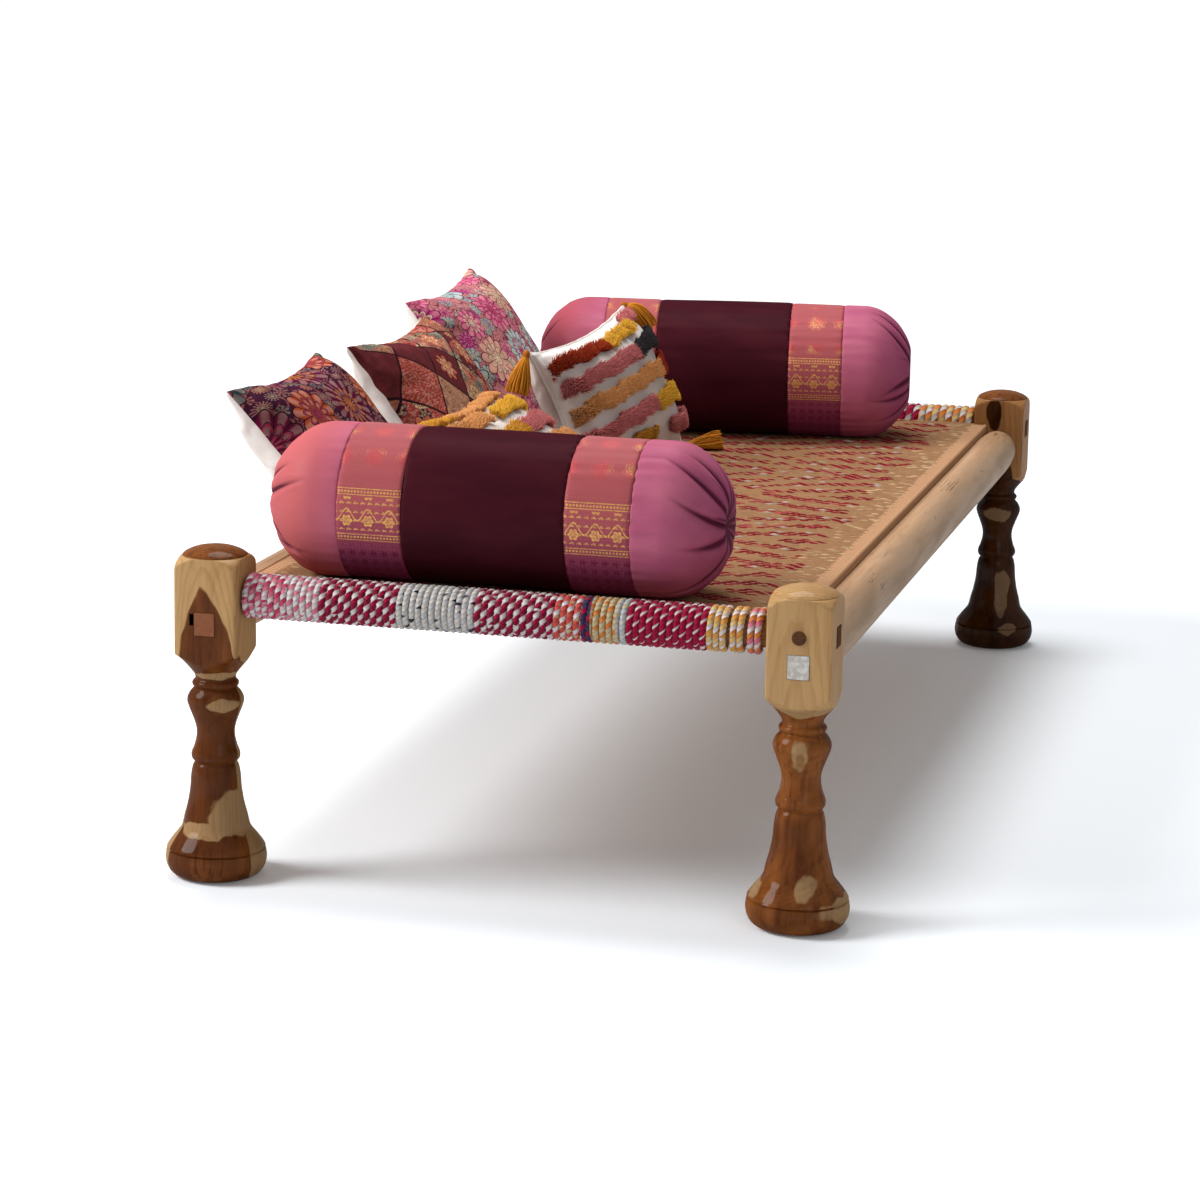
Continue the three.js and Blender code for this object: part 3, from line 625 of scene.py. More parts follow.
even_angles = whole_turn(leg_angles)
crowded_angles = even_angles - corner_crowding * np.sin(4 * (even_angles - math.pi / 4))
leg_line = [np.zeros(2)]
for stretch in leg_stretches:
    leg_line.extend(smooth_stretch([leg_line[-1]] + stretch, stretch_steps))
for name, side, end, *grain_values in legs:
    middle = (side * leg_x, end * leg_y)
    finish = leg_finish(f"lacquered_{name}", middle, *grain_values)
    rings = turned_rings(
        leg_line, crowded_angles, leg_reach, lambda x, y, z: (middle[0] + x, middle[1] + y, z)
    )
    leg = skinned_piece(f"{name}_turned", rings, finish)
    beyond_block = block_half + 0.004
    side_hole = (
        side_tenon_width / 2 + joint_line, beyond_block, side_tenon_height / 2 + joint_line
    )
    end_hole = (beyond_block, end_tenon_width / 2 + joint_line, end_tenon_height / 2 + joint_line)
    cutters = [
        rounded_box("side_mortise", (*middle, side_tenon_level), side_hole, finish, 0),
        rounded_box("end_mortise", (*middle, end_rail_height), end_hole, finish, 0),
    ]
    cut_away(leg, cutters)
    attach(leg, "root")
    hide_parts(name)


# Pegs and wedge: three round pegs that lock the end rails' tenons, and one thin wedge
# beside the side rail's tenon in the front left leg. Dark hardwood, driven in dry.

peg_line = [
    (0.0, -0.006), (0.0080, -0.006), (0.0080, 0.0), (0.0094, 0.0004), (0.0095, 0.0012),
    (0.0088, 0.0020), (0.0070, 0.0025), (0.0040, 0.0028), (0.0, 0.0028),
]
pegs = [("peg_front_right", 1, -1), ("peg_back_left", -1, 1), ("peg_back_right", 1, 1)]
peg_colour = (0.105, 0.046, 0.016, 1)
peg_dark_colour = (0.040, 0.016, 0.007, 1)

dark_finish = empty_material("dark_hardwood")
end_on = stretched(object_place(), shift=(-leg_x, 0, -peg_level), turn=(math.pi / 2, 0, 0))
grain = use_group(
    wood_grain,
    {"Place": end_on, "Light": peg_colour, "Dark": peg_dark_colour, "Ring Width": 0.0024},
)
normal = bumped(grain["Height"], 0.35, 0.0004)
finished(grain["Colour"], 0.42, normal, Specular_IOR_Level=0.05, Coat_Weight=0.05)

for name, side, end in pegs:
    face = end * (leg_y + block_half)
    turn = -1 if end > 0 else 1
    rings = turned_rings(
        peg_line, whole_turn(40) * turn, round_reach,
        lambda x, y, out: (side * leg_x + x, face + end * out, peg_level - y),
    )
    peg = skinned_piece(f"{name}_turned", rings, dark_finish)
    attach(peg, "root")
    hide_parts(name)

wedge_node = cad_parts["wedge_front_left"]
wedge_node.data.materials.clear()
wedge_node.data.materials.append(dark_finish)


# Side rails: two long round poles of pale wood, thinner towards their ends, each cut to a
# square tenon that runs through the leg. Worn smooth on top and cracked, the outer side
# greyed as painted shade.

tenon_proud = 0.0008
rail_gap = 0.0003
rail_angles = 72
rail_colour = (0.440, 0.262, 0.142, 1)
rail_dark_colour = (0.350, 0.196, 0.100, 1)
rail_shade_colour = (0.270, 0.170, 0.095, 1)
crack_colour = (0.060, 0.034, 0.018, 1)
glue_colour = (0.560, 0.545, 0.510, 1)
red_tenon_colour = (0.200, 0.060, 0.024, 1)

side_rail_line = [
    (0.0, 0.0), (0.0295, 0.0), (0.0312, 0.0006), (0.0324, 0.0018), (0.0330, 0.0040),
    (0.0334, 0.012), (0.0352, 0.045), (0.0366, 0.080), (0.0370, 0.110),
]


def rail_finish(name, side, tenon_colour):
    """Pale rail wood, its outer side greyed as painted shade, with the colour of its tenon's
    front end.
    """
    finish = empty_material(name)
    place = object_place()
    pith = (-side * leg_x + 0.006, side_rail_height - 0.004, 0)
    on_rail = stretched(place, shift=pith, turn=(math.pi / 2, 0, 0))
    grain = use_group(
        wood_grain,
        {"Place": on_rail, "Light": rail_colour, "Dark": rail_dark_colour, "Ring Width": 0.007},
    )
    across = parts(place)
    # Painted shade: the outer side of each rail is greyed, in patches.
    shade = ramp(across["X"] * side - leg_x, 0.004, 0.034)
    patchy = ramp(speckle(stretched(place, (1, 0.12, 1)), 36, 3), 0.35, 0.65)
    shade = shade * (patchy * 0.4 + 0.6)
    outer_shaded = blend_colours(shade, grain["Colour"], rail_shade_colour)
    crack = abs(speckle(stretched(on_rail, (1, 1, 0.035)), 105, 2) - 0.5)
    where = ramp(speckle(stretched(place, (1, 0.3, 1)), 16, 1), 0.52, 0.66)
    crack = ramp(crack, 0.002, 0.012, 1.0, 0.0) * where
    cracked = blend_colours(crack, outer_shaded, crack_colour)
    knots = ramp(speckle(stretched(place, (1, 0.7, 1)), 120, 1), 0.74, 0.80)
    specked = blend_colours(knots, cracked, crack_colour)
    front_end = calculate("LESS_THAN", across["Y"], -leg_y - block_half + 0.0012)
    stains = ramp(speckle(place, 130, 3), 0.42, 0.62, 0.35, 0.0)
    mottled = blend_colours(stains, tenon_colour, (0.180, 0.095, 0.045, 1))
    stained = blend_colours(front_end, specked, mottled)
    normal = bumped(crack * -2.0 + grain["Height"], 0.3, 0.0008)
    roughness = ramp(patchy, 0.0, 1.0, 0.48, 0.62)
    finished(stained, roughness, normal, Specular_IOR_Level=0.12, Coat_Weight=0.03)
    return finish


def mirrored_line(line, half_length):
    """A rail's whole outline from the outline of one end."""
    start = [(radius, inset - half_length) for radius, inset in line]
    return start + [(radius, -height) for radius, height in reversed(start)]


def join_pieces(piece, other):
    """Joins another piece's mesh into a piece."""
    whole = bmesh.new()
    for part in (piece, other):
        whole.from_mesh(part.data)
    whole.to_mesh(piece.data)
    whole.free()
    bpy.data.objects.remove(other)


for name, side, tenon_colour in [
    ("side_rail_left", -1, red_tenon_colour), ("side_rail_right", 1, glue_colour)
]:
    finish = rail_finish(f"pale_{name}", side, tenon_colour)
    half_length = leg_y - block_half - rail_gap
    rings = turned_rings(
        mirrored_line(side_rail_line, half_length), whole_turn(rail_angles), round_reach,
        lambda x, y, along: (side * leg_x + x, along, side_rail_height - y),
    )
    rail = skinned_piece(f"{name}_pole", rings, finish)
    tenon_end = leg_y + block_half + tenon_proud
    tenon_size = (side_tenon_width / 2, tenon_end, side_tenon_height / 2)
    tenon = rounded_box("tenon", (side * leg_x, 0, side_tenon_level), tenon_size, finish)
    join_pieces(rail, tenon)
    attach(rail, "root")
    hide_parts(name)


# End rails: two short round poles under the rope, with square tenons that show at the
# outer sides of the legs.

end_rail_colour = (0.270, 0.130, 0.055, 1)
end_rail_dark_colour = (0.110, 0.046, 0.018, 1)
end_rail_line = [(0.0, 0.0), (0.0165, 0.0), (0.0190, 0.0010), (0.0203, 0.0030), (0.0208, 0.0060)]

end_rail_finish = empty_material("brown_rail")
place = object_place()
on_rail = stretched(place, shift=(0.4 * leg_x, 0, 0), turn=(0, math.pi / 2, 0))
grain = use_group(
    wood_grain, {"Place": on_rail, "Light": end_rail_colour, "Dark": end_rail_dark_colour}
)
normal = bumped(grain["Height"], 0.3, 0.0006)
at_end = calculate("GREATER_THAN", abs(parts(place)["X"]), leg_x + block_half - 0.0012)
colour = blend_colours(at_end, grain["Colour"], (0.085, 0.036, 0.016, 1))
finished(colour, 0.5, normal, Specular_IOR_Level=0.0, Coat_Weight=0.03)

for name, end in [("end_rail_front", -1), ("end_rail_back", 1)]:
    half_length = leg_x - block_half - rail_gap
    rings = turned_rings(
        mirrored_line(end_rail_line, half_length), whole_turn(rail_angles), round_reach,
        lambda x, y, along: (along, end * leg_y + x, end_rail_height + y),
    )
    rail = skinned_piece(f"{name}_pole", rings, end_rail_finish)
    tenon_end = leg_x + block_half + tenon_proud
    tenon_size = (tenon_end, end_tenon_width / 2, end_tenon_height / 2)
    tenon = rounded_box("tenon", (0, end * leg_y, end_rail_height), tenon_size, end_rail_finish)
    join_pieces(rail, tenon)
    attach(rail, "root")
    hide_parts(name)


# Rope round the end rails: twisted three-ply cotton, wound turn beside turn in bands of
# different colours. The front rail ends in three loose windings that leave it half bare.

rope_core = 0.0211
rope_radius = 0.0052
rope_pitch = 0.009
back_rope_radius = 0.0070
back_rope_pitch = 0.0122
rope_plies = 3
ply_groove = 0.20
rope_lay = 0.0199
back_rope_lay = 0.0330
rope_rings = 62
rope_sides = 12
rope_wobble = 0.0013
loose_pull = 0.006
crimson = (0.325, 0.006, 0.040, 1)
deep_crimson = (0.200, 0.008, 0.030, 1)
rope_white = (0.640, 0.560, 0.560, 1)
rope_pink = (0.600, 0.160, 0.225, 1)
rope_cerise = (0.480, 0.050, 0.110, 1)
off_white = (0.560, 0.520, 0.480, 1)
cool_white = (0.470, 0.470, 0.480, 1)
rope_black = (0.030, 0.026, 0.034, 1)
rope_navy = (0.045, 0.030, 0.085, 1)
rope_orange = (0.620, 0.190, 0.040, 1)
coral = (0.560, 0.075, 0.060, 1)
beige = (0.520, 0.400, 0.230, 1)
marigold = (0.640, 0.290, 0.060, 1)
straw = (0.640, 0.430, 0.170, 1)

# For each piece of rope: its slot, where it starts, its turns, the colour of each ply, or
# its colours from given places on, the colour of its flecks, how much of the ply they take,
# and the share of the rope that the first ply takes.
front_bands = [
    (
        "rope_front_pink", "rope_pink", -0.3620, 12,
        [(-0.362, rope_white), (-0.296, rope_pink)],
        [(-0.362, rope_cerise), (-0.296, rope_white)],
        [(-0.362, rope_pink), (-0.300, rope_white)],
        rope_white, 0.26, 0.34,
    ),
    (
        "rope_front_crimson_left", "rope_crimson", -0.2540, 12,
        rope_white, crimson, deep_crimson, rope_white, 0.08, 0.36,
    ),
    (
        "rope_front_white", "rope_white", -0.1460, 12,
        off_white, cool_white, [(-0.146, off_white), (-0.064, rope_white)],
        rope_black, 0.16, 0.34,
    ),
    (
        "rope_front_crimson_middle", "rope_crimson", -0.0380, 12,
        rope_white, crimson, deep_crimson, rope_white, 0.12, 0.38,
    ),
    (
        "rope_front_mixed", "rope_mixed", 0.0700, 11,
        [(0.070, rope_white), (0.1095, rope_navy), (0.1230, beige), (0.1585, cool_white)],
        [(0.070, coral), (0.1095, crimson), (0.1230, beige), (0.1585, cool_white)],
        [(0.070, coral), (0.1095, rope_navy), (0.1230, rope_orange), (0.1585, off_white)],
        beige, 0.20, 0.34,
    ),
    (
        "rope_front_crimson_right", "rope_crimson", 0.1690, 12,
        rope_white, crimson, crimson, rope_white, 0.0, 0.17,
    ),
]
loose_windings = [
    (
        "rope_front_yellow", "rope_yellow", 0.2815, 2.5,
        rope_white, marigold, straw, rope_white, 0.10, 0.28,
    ),
    (
        "rope_front_orange", "rope_yellow", 0.3135, 1.5,
        rope_white, marigold, straw, rope_orange, 0.20, 0.30,
    ),
    (
        "rope_front_rose", "rope_pink", 0.3365, 1.5,
        rope_white, rope_orange, rope_pink, rope_white, 0.10, 0.34,
    ),
]
back_bands = [
    (
        "rope_back_crimson", "rope_crimson", -0.3570, 40.5,
        rope_white, crimson, crimson, rope_white, 0.10, 0.22,
    ),
    (
        "rope_back_cream", "rope_white", 0.1465, 8.5,
        off_white, crimson, crimson, rope_white, 0.10, 0.30,
    ),
    (
        "rope_back_yellow", "rope_yellow", 0.2545, 8,
        off_white, rope_orange, straw, rope_white, 0.15, 0.30,
    ),
]

# Colour and relief of a twisted rope, from the angle round it and the length along it.
twisted_cotton, takes, gives = new_group(
    "twisted_cotton",
    [
        ("First Ply", "Color", rope_white), ("Second Ply", "Color", crimson),
        ("Third Ply", "Color", crimson), ("Fleck", "Color", rope_white),
        ("Fleck Share", "Float", 0.2), ("First Share", "Float", 0.34),
    ],
    [("Colour", "Color"), ("Height", "Float")],
)
strand = parts(stored("strand", "Vector"))
angle = calculate("ARCTAN2", strand["Y"], strand["X"])
turn_share = angle * (0.5 / math.pi) + 0.5
ply_place = turn_share * rope_plies
crest = calculate("PINGPONG", calculate("FRACT", ply_place), 0.5)
first_share = takes["First Share"]
first_or_second = calculate("GREATER_THAN", turn_share, first_share)
or_third = calculate("GREATER_THAN", turn_share, first_share * 0.5 + 0.5)
plain = blend_colours(first_or_second, takes["First Ply"], takes["Second Ply"])
plain = blend_colours(or_third, plain, takes["Third Ply"])
ply_line = joined(strand["Z"] * 75.0, calculate("FLOOR", ply_place) * 7.3)
fleck_over = speckle(ply_line, 1.0, 1) - (takes["Fleck Share"] * -0.55 + 0.72)
flecked = blend_colours(ramp(fleck_over, -0.01, 0.02), plain, takes["Fleck"])
fibres = speckle(joined(strand["Z"] * 260.0, turn_share * 44.0), 1.0, 3)
# Painted shade: the grooves between the plies are darker; the fibres vary the tone.
shade = ramp(crest, 0.0, 0.20, 0.62, 1.0) * ramp(fibres, 0.3, 0.7, 0.78, 1.12)
gives["Colour"] = shaded_by(shade, flecked)
gives["Height"] = fibres * 0.6 + crest


def ramp_linear(value, low, high):
    """Maps a value from low..high to 0..1 in a straight line."""
    return add_node("ShaderNodeMapRange", {"Value": value, "From Min": low, "From Max": high})[0]


def banded(value, stops):
    """Flat bands of colour, or of grey where a stop holds one number, over 0 to 1."""
    steps = add_node("ShaderNodeValToRGB", {0: value})
    bands = steps.node.color_ramp
    bands.interpolation = "CONSTANT"
    while len(bands.elements) > 1:
        bands.elements.remove(bands.elements[-1])
    for index, (place, colour) in enumerate(stops):
        band = bands.elements.new(place) if index else bands.elements[0]
        band.position = place
        mixed = colour[:3] if isinstance(colour, tuple) else [colour] * 3
        band.color = (*mixed, 1)
    return steps[0]


def colour_along(across, stops):
    """One ply's colour, which changes where the rope was joined to another."""
    places = [0.0] + [(place + leg_x) / (2 * leg_x) for place, _ in stops[1:]]
    stops = [(place, colour) for place, (_, colour) in zip(places, stops)]
    return banded(ramp_linear(across, -leg_x, leg_x), stops)


def rope_finish(name, plies, fleck, fleck_share, first_share):
    """Cotton rope of three coloured plies with flecks."""
    finish = empty_material(name)
    across = parts(object_place())["X"]
    inputs = {"Fleck": fleck, "Fleck Share": fleck_share, "First Share": first_share}
    for label, ply in zip(("First Ply", "Second Ply", "Third Ply"), plies):
        inputs[label] = colour_along(across, ply) if isinstance(ply, list) else ply
    twist = use_group(twisted_cotton, inputs)
    normal = bumped(twist["Height"], 0.5, 0.0005)
    finished(twist["Colour"], 0.95, normal, Specular_IOR_Level=0.08, Sheen_Weight=0.08)
    return finish


def new_maker(name, takes):
    """Opens a Geometry Nodes tree with the named inputs."""
    maker = bpy.data.node_groups.new(name, "GeometryNodeTree")
    maker.interface.new_socket("Geometry", in_out="INPUT", socket_type="NodeSocketGeometry")
    for socket, kind in takes:
        maker.interface.new_socket(socket, in_out="INPUT", socket_type=f"NodeSocket{kind}")
    maker.interface.new_socket("Geometry", in_out="OUTPUT", socket_type="NodeSocketGeometry")
    Made.tree = maker
    return maker, add_node("NodeGroupInput"), add_node("NodeGroupOutput")


def finish_maker(shape, takes, gives):
    """Ends a Geometry Nodes tree: smooth, real geometry in one material."""
    smooth = add_node("GeometryNodeSetShadeSmooth", {"Geometry": shape})[0]
    real = add_node("GeometryNodeRealizeInstances", {0: smooth})[0]
    painted = {"Geometry": real, "Material": takes["Finish"]}
    gives[0] = add_node("GeometryNodeSetMaterial", painted)[0]


def made_by(maker, name, base, settings):
    """Runs a Geometry Nodes tree on a base mesh and gives the plain piece."""
    piece = add_object(name, base)
    making = piece.modifiers.new(maker.name, "NODES")
    making.node_group = maker
    for socket in maker.interface.items_tree:
        if socket.item_type == "SOCKET" and socket.in_out == "INPUT" and socket.name in settings:
            making[socket.identifier] = settings[socket.name]
    settle(piece)
    piece.data.name = name
    return piece


def capture(geometry, kind, value):
    """Stores a value on the points of a geometry; gives the geometry and the value."""
    kept = add_node("GeometryNodeCaptureAttribute")
    kept.node.capture_items.new(kind, "kept")
    kept[0] = geometry
    kept[1] = value
    return kept[0], kept[1]


def read_back(name, data_type):
    """A value stored on the points, inside a Geometry Nodes tree."""
    named = {"Name": name}
    return add_node("GeometryNodeInputNamedAttribute", named, data_type=data_type)[0]


wound_rope, takes, gives = new_maker(
    "wound_rope",
    [
        ("Turns", "Float"), ("Pitch", "Float"), ("Winding Radius", "Float"),
        ("Rope Radius", "Float"), ("Lay", "Float"), ("Loose Ends", "Float"), ("Seed", "Float"),
        ("Finish", "Material"),
    ],
)
whole = takes["Turns"] * (2 * math.pi)
line = add_node("GeometryNodeCurvePrimitiveLine", {"End": (1, 0, 0)})
ring_count = takes["Turns"] * rope_rings
points = add_node("GeometryNodeResampleCurve", {"Curve": line[0], "Count": ring_count})
share = add_node("GeometryNodeSplineParameter")["Factor"]
turned_angle = share * whole
turns_done = share * takes["Turns"]
noise = add_node(
    "ShaderNodeTexNoise", {"Vector": joined(turns_done, takes["Seed"]), "Scale": 1.7, "Detail": 1}
)
wobble = noise[0] * (2 * rope_wobble) - rope_wobble
radius = takes["Winding Radius"]
from_end = calculate("MINIMUM", turned_angle, whole - turned_angle)
pulled = ramp_linear(from_end, 0.45, 0.0) * takes["Loose Ends"]
depth = calculate("SINE", turned_angle) * radius * -1.0 + pulled
height = calculate("COSINE", turned_angle) * radius * -1.0
helix = joined(turns_done * takes["Pitch"] + wobble, depth, height)
wound = add_node("GeometryNodeSetPosition", {"Geometry": points[0], "Position": helix})
rope_length = turned_angle * radius
twist = rope_length / takes["Lay"] * (2 * math.pi)
tilted = add_node("GeometryNodeSetCurveTilt", {"Curve": wound[0], "Tilt": twist})
path, length_kept = capture(tilted[0], "FLOAT", rope_length)
circle = add_node("GeometryNodeCurvePrimitiveCircle", {"Resolution": rope_sides})
around = add_node("GeometryNodeSplineParameter")["Factor"] * (2 * math.pi)
lobe = calculate("COSINE", around * rope_plies + math.pi)
reach = (lobe * (ply_groove / 2) + (1 - ply_groove / 2)) * takes["Rope Radius"]
cosine, sine = calculate("COSINE", around), calculate("SINE", around)
section, circle_kept = capture(circle[0], "VECTOR", joined(cosine, sine))
lobed = joined(cosine * reach, sine * reach)
section = add_node("GeometryNodeSetPosition", {"Geometry": section, "Position": lobed})
tube = add_node(
    "GeometryNodeCurveToMesh", {"Curve": path, "Profile Curve": section[0], "Fill Caps": True}
)
strand_place = place_within("ADD", circle_kept, joined(z=length_kept))
marked = add_node(
    "GeometryNodeStoreNamedAttribute",
    {"Geometry": tube[0], "Name": "strand", "Value": strand_place}, data_type="FLOAT_VECTOR",
)
finish_maker(marked[0], takes, gives)


def wind_rope(band, index, end, radius, pitch, lay, loose_ends):
    """Winds one piece of rope round an end rail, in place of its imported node."""
    name, slot_name, start, turns, *plies, fleck, fleck_share, first_share = band
    finish = rope_finish(f"{name}_cotton", plies, fleck, fleck_share, first_share)
    settings = {
        "Turns": float(turns), "Pitch": pitch, "Winding Radius": rope_core + radius,
        "Rope Radius": radius, "Lay": lay, "Loose Ends": loose_ends, "Seed": float(index),
        "Finish": finish,
    }
    rope = made_by(wound_rope, f"{name}_wound", bpy.data.meshes.new(name), settings)
    half = radius if not loose_ends else 0
    rope.data.transform(Matrix.Translation((start + half, end * leg_y, end_rail_height)))
    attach(rope, "root")
    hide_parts(name)


for index, band in enumerate(front_bands):
    wind_rope(band, index, -1, rope_radius, rope_pitch, rope_lay, 0.0)
for index, band in enumerate(loose_windings):
    wind_rope(band, 20 + index, -1, rope_radius, rope_pitch, rope_lay, loose_pull)
for index, band in enumerate(back_bands):
    wind_rope(band, 40 + index, 1, back_rope_radius, back_rope_pitch, back_rope_lay, 0.0)


# Woven bed: thin cotton rope drawn from end to end and side to side, tan with crimson
# floats set in nested diamonds, and pale floats along both borders.

mat_half_width = 0.3875
mat_front = -0.8811
mat_back = 0.8781
mat_top = 0.4053
mat_ground_top = 0.4032
float_length = 0.0190
float_pitch_x = 0.0180
float_pitch_y = 0.0080
float_half_width = 0.0037
float_half_height = 0.0030
float_sink = 0.0008
float_edge_inset = 0.0240
notch_x = 0.3610
notch_y = 0.8650
border_x = 0.315
diamond_x = 0.290
diamond_y = 0.056
diamond_length = 0.384
diamond_lean = 0.37
diamond_step = 0.064
diamond_line = 0.0146
weave_seed = 11
tan_rope = (0.300, 0.158, 0.074)
tan_light_rope = (0.390, 0.218, 0.108)
weave_crimson = (0.205, 0.006, 0.017)
weave_pink = (0.330, 0.050, 0.055)
weave_white = (0.440, 0.350, 0.300)
border_cream = (0.480, 0.315, 0.165)
orange_tan = (0.430, 0.190, 0.075)
edge_tan_painted_light = (0.640, 0.370, 0.205, 1)

woven_finish = empty_material("woven_cotton")
place = object_place()
fibres = speckle(stretched(place, (0.25, 1, 1)), 900, 3)
shade = ramp(fibres, 0.3, 0.7, 0.82, 1.1) * ramp(speckle(place, 26, 3), 0.3, 0.7, 0.86, 1.08)
# Painted shade: each float darkens towards its foot, near the woven ground.
painted_foot_shade = ramp(parts(place)["Z"], mat_ground_top - 0.0006, mat_top - 0.0006, 0.66, 1.0)
colour = shaded_by(shade * painted_foot_shade, stored("tint", "Color"))
finished(colour, 0.93, bumped(fibres, 0.35, 0.0005), Specular_IOR_Level=0.08)

ground_finish = empty_material("woven_ground")
place = object_place()
across = parts(place)
weave = calculate("SINE", across["X"] * 700.0) * calculate("SINE", across["Y"] * 785.0)
relief = speckle(place, 500, 3) * 0.5 + weave
# The side edges turn a lighter tan: partly the strip's own colour, partly painted light on its
# shaded side face.
at_edge = ramp(abs(across["X"]), 0.3580, 0.3630)
tan_now = blend_colours(at_edge, (*tan_rope, 1), edge_tan_painted_light)
# Painted shade: the ground is darker in the weave's hollows, and in uneven patches.
colour = blend_colours(ramp(relief, -0.6, 1.1), (0.260, 0.130, 0.066, 1), tan_now)
finished(colour, 0.95, bumped(relief, 0.6, 0.0012), Specular_IOR_Level=0.08)

woven_floats, takes, gives = new_maker("woven_floats", [("Finish", "Material")])
bead = add_node("GeometryNodeMeshUVSphere", {"Segments": 6, "Rings": 4, "Radius": 1.0})
laid = add_node("GeometryNodeTransform", {"Geometry": bead[0], "Rotation": (0, math.pi / 2, 0)})
shaped = add_node(
    "GeometryNodeTransform",
    {"Geometry": laid[0], "Scale": (float_length / 2, float_half_width, float_half_height)},
)
spun = joined(z=read_back("turn", "FLOAT"))
grown = joined(read_back("size", "FLOAT"), 1.0, 1.0)
strewn = add_node(
    "GeometryNodeInstanceOnPoints",
    {"Points": takes[0], "Instance": shaped[0], "Rotation": spun, "Scale": grown},
)
finish_maker(strewn[0], takes, gives)


def float_tint(x, y, chance):
    """Colour of the float at a place, from the diamonds, the borders and chance."""
    pick, second, third = chance
    base = np.array(tan_rope) * (1 - third) + np.array(tan_light_rope) * third
    if abs(x) > border_x + 0.012 * math.sin(y * 34):
        return np.array(border_cream) * (0.85 + 0.3 * third) if pick < 0.24 else base
    across = abs(abs(x) - diamond_x)
    shift = 0.0
    if abs(x) < diamond_x / 2:
        across = abs(x)
        shift = diamond_length / 2
    nearest = (y - diamond_y - shift) / diamond_length
    down = abs(nearest - round(nearest)) * diamond_length
    line = (down + across * diamond_lean) / diamond_step
    off_line = abs(line - round(line)) * diamond_step
    fading = min(1.0, across / 0.20)
    on_line = off_line < diamond_line * (1.0 if line > 0.5 else 1.4)
    if on_line and pick < 0.98 - 0.36 * fading:
        if second < 0.86 - 0.26 * fading:
            return np.array(weave_crimson) * (0.8 + 0.5 * third)
        if second < 0.96:
            return np.array(weave_pink) * (0.85 + 0.3 * third)
        return np.array(weave_white)
    if pick > 0.990 or (pick > 0.95 and abs(abs(x) - 0.15 - 0.35 * down) < 0.03):
        return np.array(weave_white) * (0.8 + 0.3 * third)
    if 0.10 < abs(x) < 0.22 and 0.80 < pick < 0.88:
        return np.array(orange_tan)
    return base


chances = np.random.default_rng(weave_seed)
columns = int(2 * (mat_half_width - float_edge_inset) / float_pitch_x)
rows = int((mat_back - mat_front - 0.008) / float_pitch_y)
halves = {"front": [], "back": []}
for row in range(rows):
    y = mat_front + 0.0045 + (row + 0.5) * float_pitch_y
    for column in range(columns + 1):
        x = (column - columns / 2) * float_pitch_x
        fold = 1 if (abs(x) - diamond_x) * (y - diamond_y) > 0 else -1
        x += float_pitch_x * ((row * fold * 0.38) % 1 - 0.5)
        chance = chances.random(6)
        if abs(x) > mat_half_width - float_edge_inset:
            continue
        if abs(x) > notch_x - float_length / 2 and abs(y) > notch_y - 0.004:
            continue
        tint = float_tint(x, y, chance[:3])
        plain = 0.150 < tint[1] < 0.230
        sag = float_sink * (chance[3] + (0.7 if plain else 0.0))
        height = mat_top - float_half_height - 0.0001 - sag
        spot = (x, y + 0.0010 * (chance[4] - 0.5), height)
        turn = 0.16 * (chance[5] - 0.5) + 0.10 * fold
        size = 0.84 + 0.18 * chance[3]
        halves["front" if y < 0 else "back"].append((spot, tint, turn, size))

for half, floats in halves.items():
    base = bpy.data.meshes.new(f"float_places_{half}")
    base.from_pydata([spot for spot, *_ in floats], [], [])
    tints = base.attributes.new("tint", "FLOAT_COLOR", "POINT")
    tints.data.foreach_set("color", [part for item in floats for part in (*item[1], 1)])
    turns = base.attributes.new("turn", "FLOAT", "POINT")
    turns.data.foreach_set("value", [item[2] for item in floats])
    sizes = base.attributes.new("size", "FLOAT", "POINT")
    sizes.data.foreach_set("value", [item[3] for item in floats])
    piece = made_by(woven_floats, f"woven_floats_{half}", base, {"Finish": woven_finish})
    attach(piece, "root")
    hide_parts("woven_bed")

ground = bmesh.new()
ground.from_mesh(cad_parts["woven_bed"].data)
bmesh.ops.remove_doubles(ground, verts=ground.verts, dist=0.00001)
bottom = min(corner.co.z for corner in ground.verts)
squash = (mat_ground_top - bottom) / (mat_top - bottom)
for corner in ground.verts:
    corner.co.z = bottom + (corner.co.z - bottom) * squash
ground_mesh = bpy.data.meshes.new("woven_ground")
ground.to_mesh(ground_mesh)
ground.free()
ground_mesh.materials.append(ground_finish)
ground_piece = add_object("woven_ground", ground_mesh)
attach(ground_piece, "root")
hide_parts("woven_bed")

binding_inset = 0.0040
binding_drop = 0.0108
cord_inset = 0.0034
cord_drop = 0.0033
binding_line = [
    (0.0, -0.8600), (0.0040, -0.8595), (0.0048, -0.8570), (0.0048, 0.8570), (0.0040, 0.8595),
    (0.0, 0.8600),
]
cord_line = [
    (0.0, -0.862), (0.0026, -0.861), (0.0032, -0.858), (0.0032, 0.858), (0.0026, 0.861),
    (0.0, 0.862),
]
for side, label in [(-1, "left"), (1, "right")]:
    rings = turned_rings(
        binding_line, whole_turn(14), round_reach,
        lambda x, y, along: (
            side * (mat_half_width - binding_inset) + 0.8 * x, along,
            mat_top - binding_drop - 1.35 * y,
        ),
    )
    binding = skinned_piece(f"bed_edge_binding_{label}", rings, ground_finish)
    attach(binding, "root")
    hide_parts("woven_bed")
    rings = turned_rings(
        cord_line, whole_turn(12), round_reach,
        lambda x, y, along: (
            side * (mat_half_width - cord_inset) + x, along, mat_top - cord_drop - y
        ),
    )
    cord = skinned_piece(f"bed_edge_cord_{label}", rings, ground_finish)
    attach(cord, "root")
    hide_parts("woven_bed")


# Bolsters: round pillows whose covers are sewn from five panels, a burgundy satin centre,
# a brocade band each side of it, and pink satin ends drawn together in pleats.

